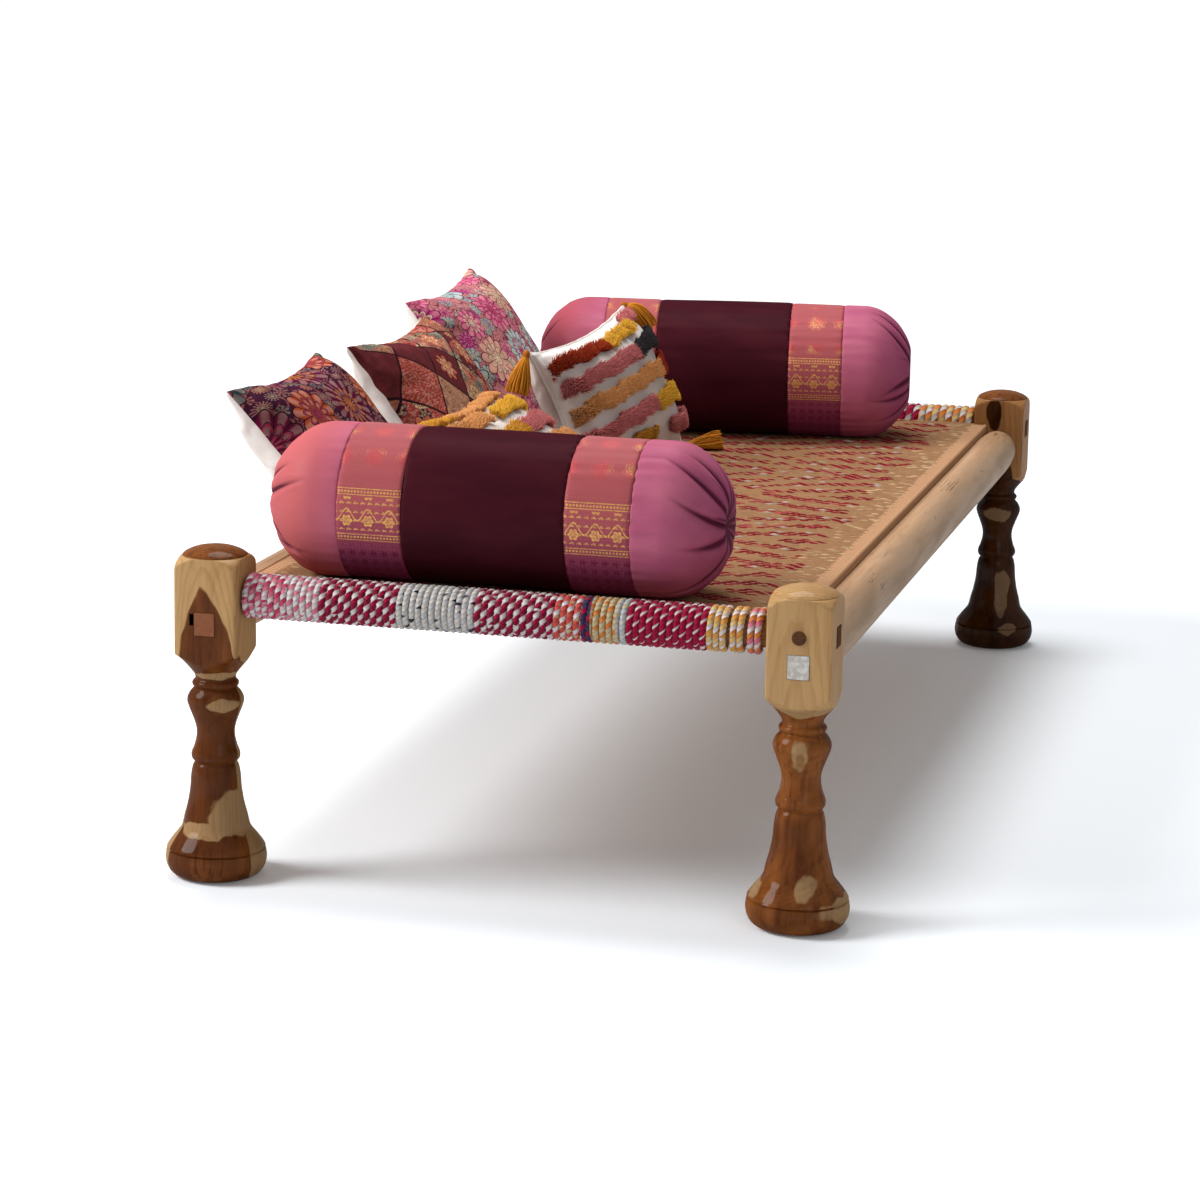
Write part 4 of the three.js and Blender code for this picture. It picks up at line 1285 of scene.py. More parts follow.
bolster_half_length = 0.3275
bolster_dome = 0.090
bolster_centre_half = 0.113
bolster_band_end = 0.203
bolster_flat = 0.005
gather_radius = 0.009
gather_dimple = 0.010
gather_shift = 0.022
gather_draw = 0.016
gather_draw_radius = 0.030
dome_power = 0.62
pleat_depth = 0.0090
main_pleats = 11
small_pleats = 17
panel_gap = 0.0003
seam_draw = 0.0012
bolster_angles = 200
pleated_angles = 420
satin_coral_highlight = (0.450, 0.104, 0.110, 1)
satin_rose_highlight = (0.340, 0.068, 0.092, 1)
# For each bolster: its radius, its place, its turn, the seed of its wrinkles and the colour
# of the painted highlight on its left end.
bolsters = [
    ("bolster_front", 0.107, (-0.043, -0.7734, 0.5076), 0.0, 3, satin_coral_highlight),
    ("bolster_back", 0.114, (-0.039, 0.6335, 0.5146), 0.15, 8, satin_rose_highlight),
]
satin_pink = (0.430, 0.112, 0.180, 1)
satin_pink_shade = (0.370, 0.084, 0.155, 1)
satin_plum_shade = (0.230, 0.034, 0.110, 1)
crease_shade_colour = (0.075, 0.007, 0.024, 1)
burgundy = (0.037, 0.0056, 0.0100, 1)
burgundy_light = (0.050, 0.0074, 0.0124, 1)
brocade_rose = (0.335, 0.074, 0.082, 1)
brocade_plum = (0.190, 0.024, 0.095, 1)
brocade_gold = (0.610, 0.330, 0.090, 1)
brocade_coral = (0.440, 0.048, 0.048, 1)
brocade_dark = (0.160, 0.020, 0.060, 1)


def satin_finish(name, light, dark, highlight=None, shine=0.10):
    """Satin: folds painted lighter and darker, painted shade in creases, a fine ribbed weave."""
    finish = empty_material(name)
    place = object_place()
    # Painted light and shade: soft patches of the satin lighter or darker, as on pulled folds.
    pulls = speckle(stretched(place, (0.35, 1, 1)), 26, 3)
    colour = blend_colours(ramp(pulls, 0.32, 0.70), light, dark)
    # Painted highlight on the left end and painted plum shade on the right end.
    if highlight is not None:
        across = parts(place)["X"]
        colour = blend_colours(ramp(across, -0.220, -0.310), colour, highlight)
        colour = blend_colours(ramp(across, 0.225, 0.285) * 0.6, colour, satin_plum_shade)
    # Painted shade in the pleats of the gathers, from the stored crease value.
    crease_shade = calculate("MINIMUM", stored("crease", "Fac") * 1.5, 0.94)
    colour = blend_colours(crease_shade, colour, crease_shade_colour)
    threads = speckle(stretched(place, (1, 0.2, 0.2)), 1500, 1)
    folds = speckle(stretched(place, (0.4, 1, 1)), 70, 3)
    normal = bumped(threads * 0.12 + folds, 0.22, 0.0022)
    roughness = ramp(pulls, 0.3, 0.7, 0.44, 0.54)
    finished(
        colour, roughness, normal, Specular_IOR_Level=0.0, Coat_Weight=shine, Coat_Roughness=0.42
    )
    return finish


# One rosette: how far a place lies from its middle, scalloped into petals, 0 to 1.
petalled, takes, gives = new_group(
    "petalled_ring",
    [
        ("Offset", "Vector", None), ("Radius", "Float", 0.02),
        ("Petals", "Float", 8.0), ("Scallop", "Float", 0.12),
    ],
    [("Reach", "Float"), ("Ray", "Float")],
)
offset = parts(takes["Offset"])
bearing = calculate("ARCTAN2", offset["Y"], offset["X"])
petal = abs(calculate("COSINE", bearing * takes["Petals"] * 0.5))
distance = length_of(takes["Offset"])
gives["Reach"] = distance / takes["Radius"] + (1.0 - petal) * takes["Scallop"]
gives["Ray"] = petal


def repeat_around(place, cell, shift=(0, 0, 0)):
    """The place inside one cell of a repeat, measured from the cell's middle."""
    inputs = {0: place_within("ADD", place, shift), 1: cell, 2: (0, 0, 0)}
    wrapped = add_node("ShaderNodeVectorMath", inputs, operation="WRAP")[0]
    centred = place_within("ADD", wrapped, (-cell[0] / 2, -cell[1] / 2, 0))
    return place_within("MULTIPLY", centred, (1, 1, 0))


def brocade_finish(name, axis_height):
    """Rose brocade with woven gold: rosettes above, a vine between dotted lines, plum below."""
    finish = empty_material(name)
    flat = parts(add_node("ShaderNodeUVMap", uv_map="cloth")[0])
    around, along = flat["X"], flat["Y"]
    on_cloth = joined(along, around)
    place = object_place()
    drop = parts(place)["Z"] - axis_height
    # The ground turns smoothly from rose to plum towards the bottom.
    ground = blend_colours(ramp(drop, -0.100, 0.030), brocade_plum, brocade_rose)

    def motif(offset, radius, petals, scallop):
        """How far into one rosette, leaf or flower the place lies, 0 to 1."""
        inputs = {"Offset": offset, "Radius": radius, "Petals": petals, "Scallop": scallop}
        return use_group(petalled, inputs)[0]

    rosette = motif(repeat_around(on_cloth, (0.045, 0.056, 1)), 0.017, 10.0, 0.22)
    rosette_mask = banded(
        rosette,
        [
            (0.0, 1), (0.22, 0), (0.30, 0.9), (0.52, 0.15), (0.62, 1), (0.74, 0), (0.92, 0.8),
            (0.99, 0),
        ],
    )
    above = ramp(drop, 0.040, 0.048)
    rosette_mask = rosette_mask * above * 0.75

    stem = calculate("SINE", along * (2 * math.pi / 0.030)) * -0.008 + drop
    stem_mask = ramp(abs(stem), 0.0010, 0.0018, 1.0, 0.0)
    leaf_place = joined(along, drop)
    leaf_cell = repeat_around(leaf_place, (0.0100, 0.0120, 1), (0.0, 0.002, 0))
    leaf = motif(stretched(leaf_cell, (1.0, 2.2, 1), turn=(0, 0, 0.7)), 0.0052, 3.0, 0.5)
    leaf_mask = ramp(leaf, 0.72, 0.92, 1.0, 0.0)
    flower_cell = repeat_around(leaf_place, (0.0300, 0.0360, 1), (0.0075, 0.0260, 0))
    flower = motif(flower_cell, 0.0085, 6.0, 0.30)
    flower_mask = banded(flower, [(0.0, 0), (0.18, 1), (0.45, 0.1), (0.58, 1), (0.98, 0)])
    vine_mask = calculate("MAXIMUM", stem_mask, leaf_mask * 0.8)
    vine_mask = calculate("MAXIMUM", vine_mask, flower_mask)
    vine_mask = vine_mask * ramp(abs(drop), 0.0235, 0.0245, 1.0, 0.0)

    from_strip = abs(drop) - 0.0310
    dot_cell = repeat_around(joined(along, from_strip), (0.0046, 1.0, 1), (0, 0.5, 0))
    dot_mask = ramp(length_of(dot_cell), 0.0014, 0.0019, 1.0, 0.0)
    line_mask = ramp(abs(abs(from_strip) - 0.0040), 0.0005, 0.0009, 1.0, 0.0)
    strip_mask = calculate("MAXIMUM", dot_mask, line_mask)

    spot_cell = repeat_around(on_cloth, (0.015, 0.0165, 1), (0.004, 0.003, 0))
    spot = motif(spot_cell, 0.0062, 5.0, 0.35)
    spot_mask = ramp(spot, 0.75, 0.98, 1.0, 0.0) * ramp(drop, -0.038, -0.048)
    spotted = blend_colours(spot_mask, ground, brocade_dark)
    fine = length_of(repeat_around(on_cloth, (0.005, 0.0055, 1)))
    fine_mask = ramp(fine, 0.0006, 0.0011, 0.16, 0.0)

    gold = calculate("MAXIMUM", rosette_mask, vine_mask)
    gold = calculate("MAXIMUM", gold, strip_mask)
    gold = calculate("MAXIMUM", gold, fine_mask)
    gold = gold * ramp(speckle(place, 420, 2), 0.30, 0.62, 0.35, 1.0)
    tint = ramp(speckle(place, 30, 1), 0.3, 0.5)
    thread = blend_colours(tint * above, brocade_gold, brocade_coral)
    colour = blend_colours(gold, spotted, thread)
    rib = calculate("SINE", around * (2 * math.pi / 0.0011))
    normal = bumped(rib * 0.12 + gold, 0.35, 0.0006)
    roughness = ramp(gold, 0.0, 1.0, 0.48, 0.34)
    finished(colour, roughness, normal, Specular_IOR_Level=0.05, Metallic=gold * 0.45)
    return finish


def cloth_coordinates(piece, rings, around_length, lengthwise):
    """Lays the UV map "cloth" on a skinned piece: round it and along it, in metres."""
    layer = piece.data.uv_layers.new(name="cloth")
    around = max(len(ring) for ring in rings)
    step = around_length / around
    loops = []
    for row in range(len(rings) - 1):
        near, far = lengthwise[row], lengthwise[row + 1]
        for here in range(around):
            left, right = here * step, (here + 1) * step
            if len(rings[row]) == 1:
                loops += [((left + right) / 2, near), (right, far), (left, far)]
            elif len(rings[row + 1]) == 1:
                loops += [(left, near), (right, near), ((left + right) / 2, far)]
            else:
                loops += [(left, near), (right, near), (right, far), (left, far)]
    layer.data.foreach_set("uv", [part for pair in loops for part in pair])


def bolster_panel(name, radius, start, end, mirror, place, turn, finish, seed):
    """One sewn panel of a bolster's cover, from its inner seam outwards."""
    chance = np.random.default_rng(seed)
    gathered = end > bolster_half_length - 0.001
    rows = 84 if gathered else (44 if start < 0 else 22)
    count_around = pleated_angles if gathered else bolster_angles
    angles = whole_turn(count_around)
    waves = [
        (int(chance.integers(14, 46)), chance.random() * 2 * math.pi, chance.random())
        for _ in range(9)
    ]
    fold_centres = np.arange(main_pleats) * 2 * math.pi / main_pleats + math.pi / main_pleats
    fold_centres += 0.16 * (chance.random(main_pleats) - 0.5)
    fold_centres = np.append(fold_centres, chance.random(small_pleats) * 2 * math.pi)
    fold_reach = np.append(
        0.095 + 0.060 * chance.random(main_pleats), 0.040 + 0.055 * chance.random(small_pleats)
    )
    fold_width = np.append(
        0.0034 + 0.0016 * chance.random(main_pleats), np.full(small_pleats, 0.0024)
    )
    fold_depth = np.append(np.full(main_pleats, 1.0), 0.30 + 0.35 * chance.random(small_pleats))
    bow = chance.random(len(fold_centres)) - 0.5
    rings = [[(start, 0.0, 0.0)]]
    lengthwise = [start]
    creases = [0.0]
    dome_start = bolster_half_length - bolster_dome
    for row in range(rows + 1):
        share = row / rows
        if gathered:
            share = math.sin(share * math.pi / 2)
        x = start + (end - start) * share
        dome_share = max(0.0, (abs(x) - dome_start) / bolster_dome)
        domed = max(0.0, 1 - dome_share**2) ** dome_power
        reach = gather_radius + (radius - gather_radius) * domed
        from_seam = abs(x - start) if gathered else min(abs(x - start), abs(end - x))
        ring_reach = np.full(count_around, reach)
        crease = np.zeros(count_around)
        ring_reach -= seam_draw * math.exp(-from_seam / 0.0035)
        pucker = 0.00022 * math.exp(-from_seam / 0.022) + 0.00006
        for count, phase, weight in waves:
            drift = 3.0 * (x - start)
            ring_reach += pucker * weight * np.cos(count * angles + phase + drift)
        ring_reach += 0.0007 * np.cos(3 * angles + 9 * x + seed)
        ring_reach += 0.0005 * np.cos(5 * angles - 14 * x)
        if gathered:
            outline = math.acos(max(0.0, min(1.0, reach / radius))) / (math.pi / 2)
            to_tip = radius * (1 - outline) * 1.25
            for centre, far, width, deep, bend in zip(
                fold_centres, fold_reach, fold_width, fold_depth, bow
            ):
                drawn = min(1.0, 1.6 * max(0.0, 1 - to_tip / far))
                drawn = drawn * drawn * (3 - 2 * drawn)
                off = np.angle(np.exp(1j * (angles - centre - bend * 0.9 * to_tip / 0.1)))
                off = np.abs(off) * reach / (width * (0.65 + 0.75 * drawn))
                limit = min(1.0, reach / 0.035)
                sunk = deep * drawn * limit
                ring_reach -= pleat_depth * sunk * np.exp(-off)
                ring_reach += 0.0016 * sunk * np.exp(-((off - 2.6) ** 2) / 2.2)
                # How deep in a pleat each point lies, stored for painted shade in the satin.
                crease = np.maximum(crease, deep * drawn * np.exp(-((off / 0.75) ** 2)))
        aside = gather_shift * (1 - reach / radius) ** 4 * (1 if mirror else -1)
        drawn_in = gather_draw * math.exp(-((reach / gather_draw_radius) ** 2)) if gathered else 0
        ring = []
        for far, angle in zip(ring_reach, angles):
            y, z = far * math.cos(angle), far * math.sin(angle)
            floor_z = bolster_flat - radius
            lift = 0.0016 * math.log1p(math.exp(min(30.0, (floor_z - z) / 0.0016)))
            ring.append((x - drawn_in, y + aside, z + lift))
        rings.append(ring)
        lengthwise.append(x)
        creases += list(crease)
    if gathered:
        tip = [(x, aside + (y - aside) * 0.55, z * 0.55) for x, y, z in rings[-1]]
        tip_x = end - drawn_in
        rings.append([(tip_x - gather_dimple * 0.7, y, z) for _, y, z in tip])
        rings.append([(tip_x - gather_dimple, aside, 0.0)])
        lengthwise += [end + 0.004, end + 0.009]
        # The gathered tip counts as fully creased, for painted shade.
        creases += [1.0] * (count_around + 1)
    else:
        rings.append([(end, 0.0, 0.0)])
        lengthwise.append(end)
        creases.append(0.0)
    pose = Matrix.Translation(place) @ Matrix.Rotation(turn + (math.pi if mirror else 0), 4, "Z")
    placed = []
    for ring in rings:
        placed.append([tuple(pose @ Vector((z0, x0, y0))) for z0, x0, y0 in ring])
    piece = skinned_piece(name, placed, finish, math.radians(80))
    piece.data.attributes.new("crease", "FLOAT", "POINT").data.foreach_set("value", creases)
    cloth_coordinates(piece, placed, 2 * math.pi * radius, lengthwise)
    return piece


for name, radius, place, turn, seed, left_highlight in bolsters:
    satin_left = satin_finish(f"{name}_painted_highlight_satin", satin_pink, satin_pink_shade, left_highlight)
    satin_right = satin_finish(f"{name}_pink_satin", satin_pink, satin_pink_shade, left_highlight)
    satin_centre = satin_finish(f"{name}_burgundy_satin", burgundy, burgundy_light, shine=0.03)
    zari = brocade_finish(f"{name}_brocade", place[2])
    band_start = bolster_centre_half + panel_gap
    end_start = bolster_band_end + panel_gap
    half = bolster_centre_half
    panels = [
        ("centre", -half, half, False, satin_centre, "satin_burgundy"),
        ("band_right", band_start, bolster_band_end, False, zari, "brocade"),
        ("end_right", end_start, bolster_half_length, False, satin_right, "satin_pink"),
        ("band_left", band_start, bolster_band_end, True, zari, "brocade"),
        ("end_left", end_start, bolster_half_length, True, satin_left, "satin_pink"),
    ]
    for index, (panel, start, end, mirror, finish, slot_name) in enumerate(panels):
        piece = bolster_panel(
            f"{name}_{panel}_panel", radius, start, end, mirror, place, turn, finish,
            seed + index,
        )
        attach(piece, name)
        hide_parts(f"{name}_{panel}")


# Cushions: five loose covers, each two panels sewn round the edge and stuffed; three have a
# printed face and a cream back, two are cream with raised stripes and a piped seam.

cushion_draw_in = 0.09
cushion_rest = 0.4056
cushion_columns = 64
cushion_rows = 46
swell_frames = 26
swell_limit = 0.011
swell_start = 0.90
sewing_slack = 0.03
cushion_left = -0.4065
# For each cushion: its length, height and thickness, its place along X and Y, its lean,
# its turn, how far its top dips, how far its near top corner drops, and its seed.
cushions = {
    "cushion_mandala": (0.400, 0.300, 0.104, 0.123, -0.4894, 0.69, 0.0, 0.012, 0.004, 21),
    "cushion_patchwork": (0.400, 0.300, 0.104, 0.157, -0.0884, 0.63, 0.0, 0.012, 0.0, 22),
    "cushion_floral": (0.400, 0.335, 0.104, 0.128, 0.3126, 0.60, 0.0, 0.014, 0.016, 23),
    "cushion_tufted_upright": (0.434, 0.260, 0.100, 0.316, 0.1965, 0.45, -0.14, 0.030, 0.031, 24),
    "cushion_tufted_low": (0.434, 0.260, 0.100, 0.362, -0.3224, 1.06, 0.0, 0.010, 0.0, 25),
}
print_ink = (0.022, 0.008, 0.012, 1)
cream_cotton = (0.700, 0.645, 0.610, 1)
cream_cotton_dark = (0.640, 0.580, 0.540, 1)
seam_dip_share = 0.40


def flower_layer(place, apart, radius, randomness, outer, inner, ground):
    """Printed flowers of mixed colours and petal counts scattered over a ground colour."""
    cells = add_node(
        "ShaderNodeTexVoronoi", {"Vector": place, "Scale": 1 / apart, "Randomness": randomness},
        voronoi_dimensions="2D",
    )
    offset = place_within("SUBTRACT", place, cells["Position"])
    picks = add_node("ShaderNodeSeparateColor", {0: cells["Color"]})
    petals = calculate("ROUND", picks[0] * 9.0 + 6.0)
    size = picks[2] * (0.35 * radius) + 0.72 * radius
    flower = use_group(
        petalled, {"Offset": offset, "Radius": size, "Petals": petals, "Scallop": 0.24}
    )
    reach, ray = flower["Reach"], flower["Ray"]
    outside = banded(picks[1], outer)
    inside = banded(picks[0], inner)
    paler = blend_colours(0.20, outside, (0.75, 0.55, 0.45, 1))
    petal_shade = blend_colours(ramp(ray, 0.55, 0.95), outside, paler)
    ring = banded(reach, [(0.0, 1), (0.30, 0), (0.50, 1), (0.60, 0)])
    colour = blend_colours(ring, petal_shade, inside)
    lines = banded(
        reach,
        [
            (0.0, 0), (0.115, 1), (0.15, 0), (0.28, 1),
            (0.315, 0), (0.585, 1), (0.62, 0), (0.955, 1),
        ],
    )
    between = ramp(ray, 0.20, 0.10) * ramp(reach, 0.30, 0.34)
    lines = calculate("MAXIMUM", lines, between)
    colour = blend_colours(lines, colour, print_ink)
    return blend_colours(ramp(reach, 1.0, 1.01), colour, ground)


def drawn_lines(place, scale, width):
    """Thin wandering pen lines, 1 on a line and 0 off it."""
    off = abs(speckle(place, scale) - 0.5)
    return ramp(off, width * 0.6, width, 1.0, 0.0)


def printed(colour):
    """Printed cotton: slightly uneven ink on a fine weave."""
    place = object_place()
    colour = shaded_by(ramp(speckle(place, 60, 3), 0.3, 0.7, 0.80, 1.10), colour)
    creases = speckle(stretched(place, (1, 1, 0.4)), 34, 3)
    normal = bumped(speckle(place, 1600, 1) * 0.10 + creases, 0.25, 0.003)
    finished(colour, 0.70, normal, Specular_IOR_Level=0.0, Coat_Weight=0.03, Coat_Roughness=0.5)


# Dark print: large flowers strewn over small ones on near black and wine red.
mandala_print = empty_material("mandala_print")
cloth = add_node("ShaderNodeUVMap", uv_map="cloth")[0]
weak = drawn_lines(cloth, 22, 0.030)
ground = blend_colours(speckle(cloth, 9, 1), (0.012, 0.009, 0.016, 1), (0.090, 0.010, 0.040, 1))
ground = blend_colours(weak, ground, (0.22, 0.07, 0.06, 1))
small = flower_layer(
    stretched(cloth, (1, 1.5, 1)), 0.036, 0.020, 0.5,
    [
        (0.0, (0.120, 0.010, 0.034)), (0.34, (0.030, 0.050, 0.056)),
        (0.6, (0.180, 0.036, 0.024)), (0.8, (0.060, 0.008, 0.034)),
    ],
    [(0.0, (0.30, 0.10, 0.07)), (0.4, (0.12, 0.01, 0.04)), (0.7, (0.36, 0.25, 0.16))],
    ground,
)
colour = flower_layer(
    stretched(cloth, shift=(0.021, 0.034, 0)), 0.108, 0.056, 0.25,
    [
        (0.0, (0.110, 0.006, 0.034)), (0.40, (0.340, 0.056, 0.022)),
        (0.60, (0.040, 0.006, 0.022)), (0.80, (0.030, 0.062, 0.070)),
    ],
    [(0.0, (0.090, 0.150, 0.160)), (0.4, (0.300, 0.040, 0.080)), (0.7, (0.420, 0.130, 0.045))],
    small,
)
printed(colour)

# Patchwork print: square patches set on their corners, some scribbled and some with flowers.
patchwork_print = empty_material("patchwork_print")
cloth = add_node("ShaderNodeUVMap", uv_map="cloth")[0]
patch_side = 0.080
turned_cloth = stretched(cloth, shift=(0.03, 0.012, 0), turn=(0, 0, 0.70))
patch_scaled = place_within("DIVIDE", turned_cloth, (patch_side, patch_side, 1))
patch_number = add_node("ShaderNodeVectorMath", {0: patch_scaled}, operation="FLOOR")[0]
patch_pick = add_node("ShaderNodeTexWhiteNoise", {"Vector": patch_number}, noise_dimensions="3D")
patch_value = patch_pick["Value"]
inside_patch = repeat_around(turned_cloth, (patch_side, patch_side, 100))
patch_colour = banded(
    patch_value,
    [
        (0.0, (0.110, 0.018, 0.022)), (0.22, (0.380, 0.190, 0.115)),
        (0.42, (0.240, 0.085, 0.050)), (0.60, (0.440, 0.280, 0.190)),
        (0.74, (0.290, 0.045, 0.035)), (0.88, (0.320, 0.150, 0.090)),
    ],
)
dashes = drawn_lines(stretched(cloth, (1, 2.5, 1)), 75, 0.045)
scribble = blend_colours(
    ramp(patch_value, 0.49, 0.51), (0.10, 0.03, 0.03, 1), (0.50, 0.24, 0.18, 1)
)
patch_colour = blend_colours(dashes * 0.65, patch_colour, scribble)
tiny_flowers = flower_layer(
    cloth, 0.027, 0.0145, 0.6,
    [
        (0.0, (0.360, 0.050, 0.035)), (0.35, (0.520, 0.370, 0.180)),
        (0.6, (0.080, 0.014, 0.022)), (0.8, (0.110, 0.130, 0.110)),
    ],
    [(0.0, (0.520, 0.400, 0.200)), (0.4, (0.300, 0.030, 0.030)), (0.7, (0.100, 0.120, 0.110))],
    patch_colour,
)
other_picks = add_node("ShaderNodeSeparateColor", {0: patch_pick["Color"]})
patch_colour = blend_colours(ramp(other_picks[2], 0.54, 0.56), patch_colour, tiny_flowers)
on_patch = use_group(
    petalled, {"Offset": inside_patch, "Radius": 0.027, "Petals": 8.0, "Scallop": 0.45}
)
flower_here = ramp(other_picks[1], 0.44, 0.46)
petal_zone = ramp(on_patch["Reach"], 0.98, 1.0, 1.0, 0.0) * flower_here
petal_rings = banded(
    on_patch["Reach"],
    [
        (0.0, (0.62, 0.40, 0.14)), (0.2, print_ink), (0.25, (0.44, 0.10, 0.06)),
        (0.5, (0.60, 0.46, 0.30)), (0.62, print_ink), (0.67, (0.46, 0.13, 0.07)),
        (0.93, (0.07, 0.02, 0.02)),
    ],
)
patch_colour = blend_colours(petal_zone, patch_colour, petal_rings)
patch_offset = parts(inside_patch)
edge = calculate("MAXIMUM", abs(patch_offset["X"]), abs(patch_offset["Y"]))
stitched = ramp(edge, patch_side / 2 - 0.0022, patch_side / 2 - 0.0014)
printed(blend_colours(stitched, patch_colour, print_ink))

# Pink print: crowded flowers in pinks, corals and pale blue.
floral_print = empty_material("floral_print")
cloth = add_node("ShaderNodeUVMap", uv_map="cloth")[0]
ground = blend_colours(speckle(cloth, 12, 2), (0.330, 0.080, 0.130, 1), (0.520, 0.230, 0.190, 1))
ground = blend_colours(drawn_lines(cloth, 42, 0.030), ground, (0.20, 0.04, 0.06, 1))
small = flower_layer(
    cloth, 0.034, 0.019, 0.7,
    [
        (0.0, (0.520, 0.120, 0.200)), (0.3, (0.360, 0.030, 0.160)),
        (0.55, (0.480, 0.330, 0.280)), (0.75, (0.230, 0.300, 0.310)),
    ],
    [(0.0, (0.60, 0.50, 0.36)), (0.4, (0.45, 0.05, 0.18)), (0.7, (0.60, 0.24, 0.14))],
    ground,
)
colour = flower_layer(
    stretched(cloth, shift=(0.03, 0.05, 0)), 0.094, 0.047, 0.6,
    [
        (0.0, (0.560, 0.090, 0.200)), (0.28, (0.330, 0.410, 0.420)),
        (0.52, (0.560, 0.260, 0.200)), (0.76, (0.420, 0.030, 0.160)),
    ],
    [(0.0, (0.280, 0.380, 0.400)), (0.4, (0.640, 0.500, 0.330)), (0.7, (0.480, 0.060, 0.140))],
    small,
)
printed(colour)

cream_finish = empty_material("cream_cotton")
place = object_place()
uneven = ramp(speckle(place, 14, 3), 0.3, 0.7)
colour = blend_colours(uneven, cream_cotton_dark, cream_cotton)
creases = speckle(stretched(place, (1, 1, 0.5)), 30, 3)
normal = bumped(speckle(place, 1300, 2) * 0.15 + creases, 0.22, 0.003)
finished(colour, 0.85, normal, Specular_IOR_Level=0.1)


def pillow_form(u, v, side, length, height, thickness, dip, drop, swell=1.0):
    """A point of a stuffed cover, from shares of its length, height and side."""
    upper, near = (1 + v) / 2, (1 - u) / 2
    x = (length / 2) * u * (1 - cushion_draw_in * (1 - v * v))
    y = (height / 2) * (1 + v * (1 - cushion_draw_in * (1 - u * u)))
    y -= dip * (1 - u * u) * upper * upper + drop * near * near * upper * upper
    inner = math.sqrt(max(0.0, (1 - u**4) * (1 - v**4)))
    return x, y, side * (0.0005 + swell * (thickness / 2 - 0.0005) * inner)


def swelled(name, points, faces, seam_count):
    """Blows a closed cover up as cloth, with its seam held; returns its points."""
    mesh = bpy.data.meshes.new(name)
    mesh.from_pydata(points, [], faces)
    cover = add_object(name, mesh)
    held = cover.vertex_groups.new(name="seam")
    held.add(list(range(seam_count)), 1.0, "REPLACE")
    cloth = cover.modifiers.new("stuffing", "CLOTH")
    settings = cloth.settings
    settings.vertex_group_mass = "seam"
    settings.quality = 5
    settings.mass = 0.15
    settings.tension_stiffness = 18
    settings.compression_stiffness = 18
    settings.shear_stiffness = 8
    settings.bending_stiffness = 0.06
    settings.shrink_min = -sewing_slack
    settings.use_pressure = True
    settings.uniform_pressure_force = 3.0
    settings.effector_weights.gravity = 0
    cloth.collision_settings.use_collision = False
    cloth.point_cache.frame_end = swell_frames
    for frame_number in range(1, swell_frames + 1):
        scene.frame_set(frame_number)
    seen = cover.evaluated_get(bpy.context.evaluated_depsgraph_get())
    moved = np.empty(len(points) * 3)
    seen.data.vertices.foreach_get("co", moved)
    moved = moved.reshape(-1, 3)
    bpy.data.objects.remove(cover)
    bpy.data.meshes.remove(mesh)
    scene.frame_set(1)
    start = np.array(points)
    shift = moved - start
    far = np.linalg.norm(shift, axis=1, keepdims=True)
    held_back = swell_limit * np.tanh(far / swell_limit) / np.maximum(far, 0.000001)
    return start + shift * held_back


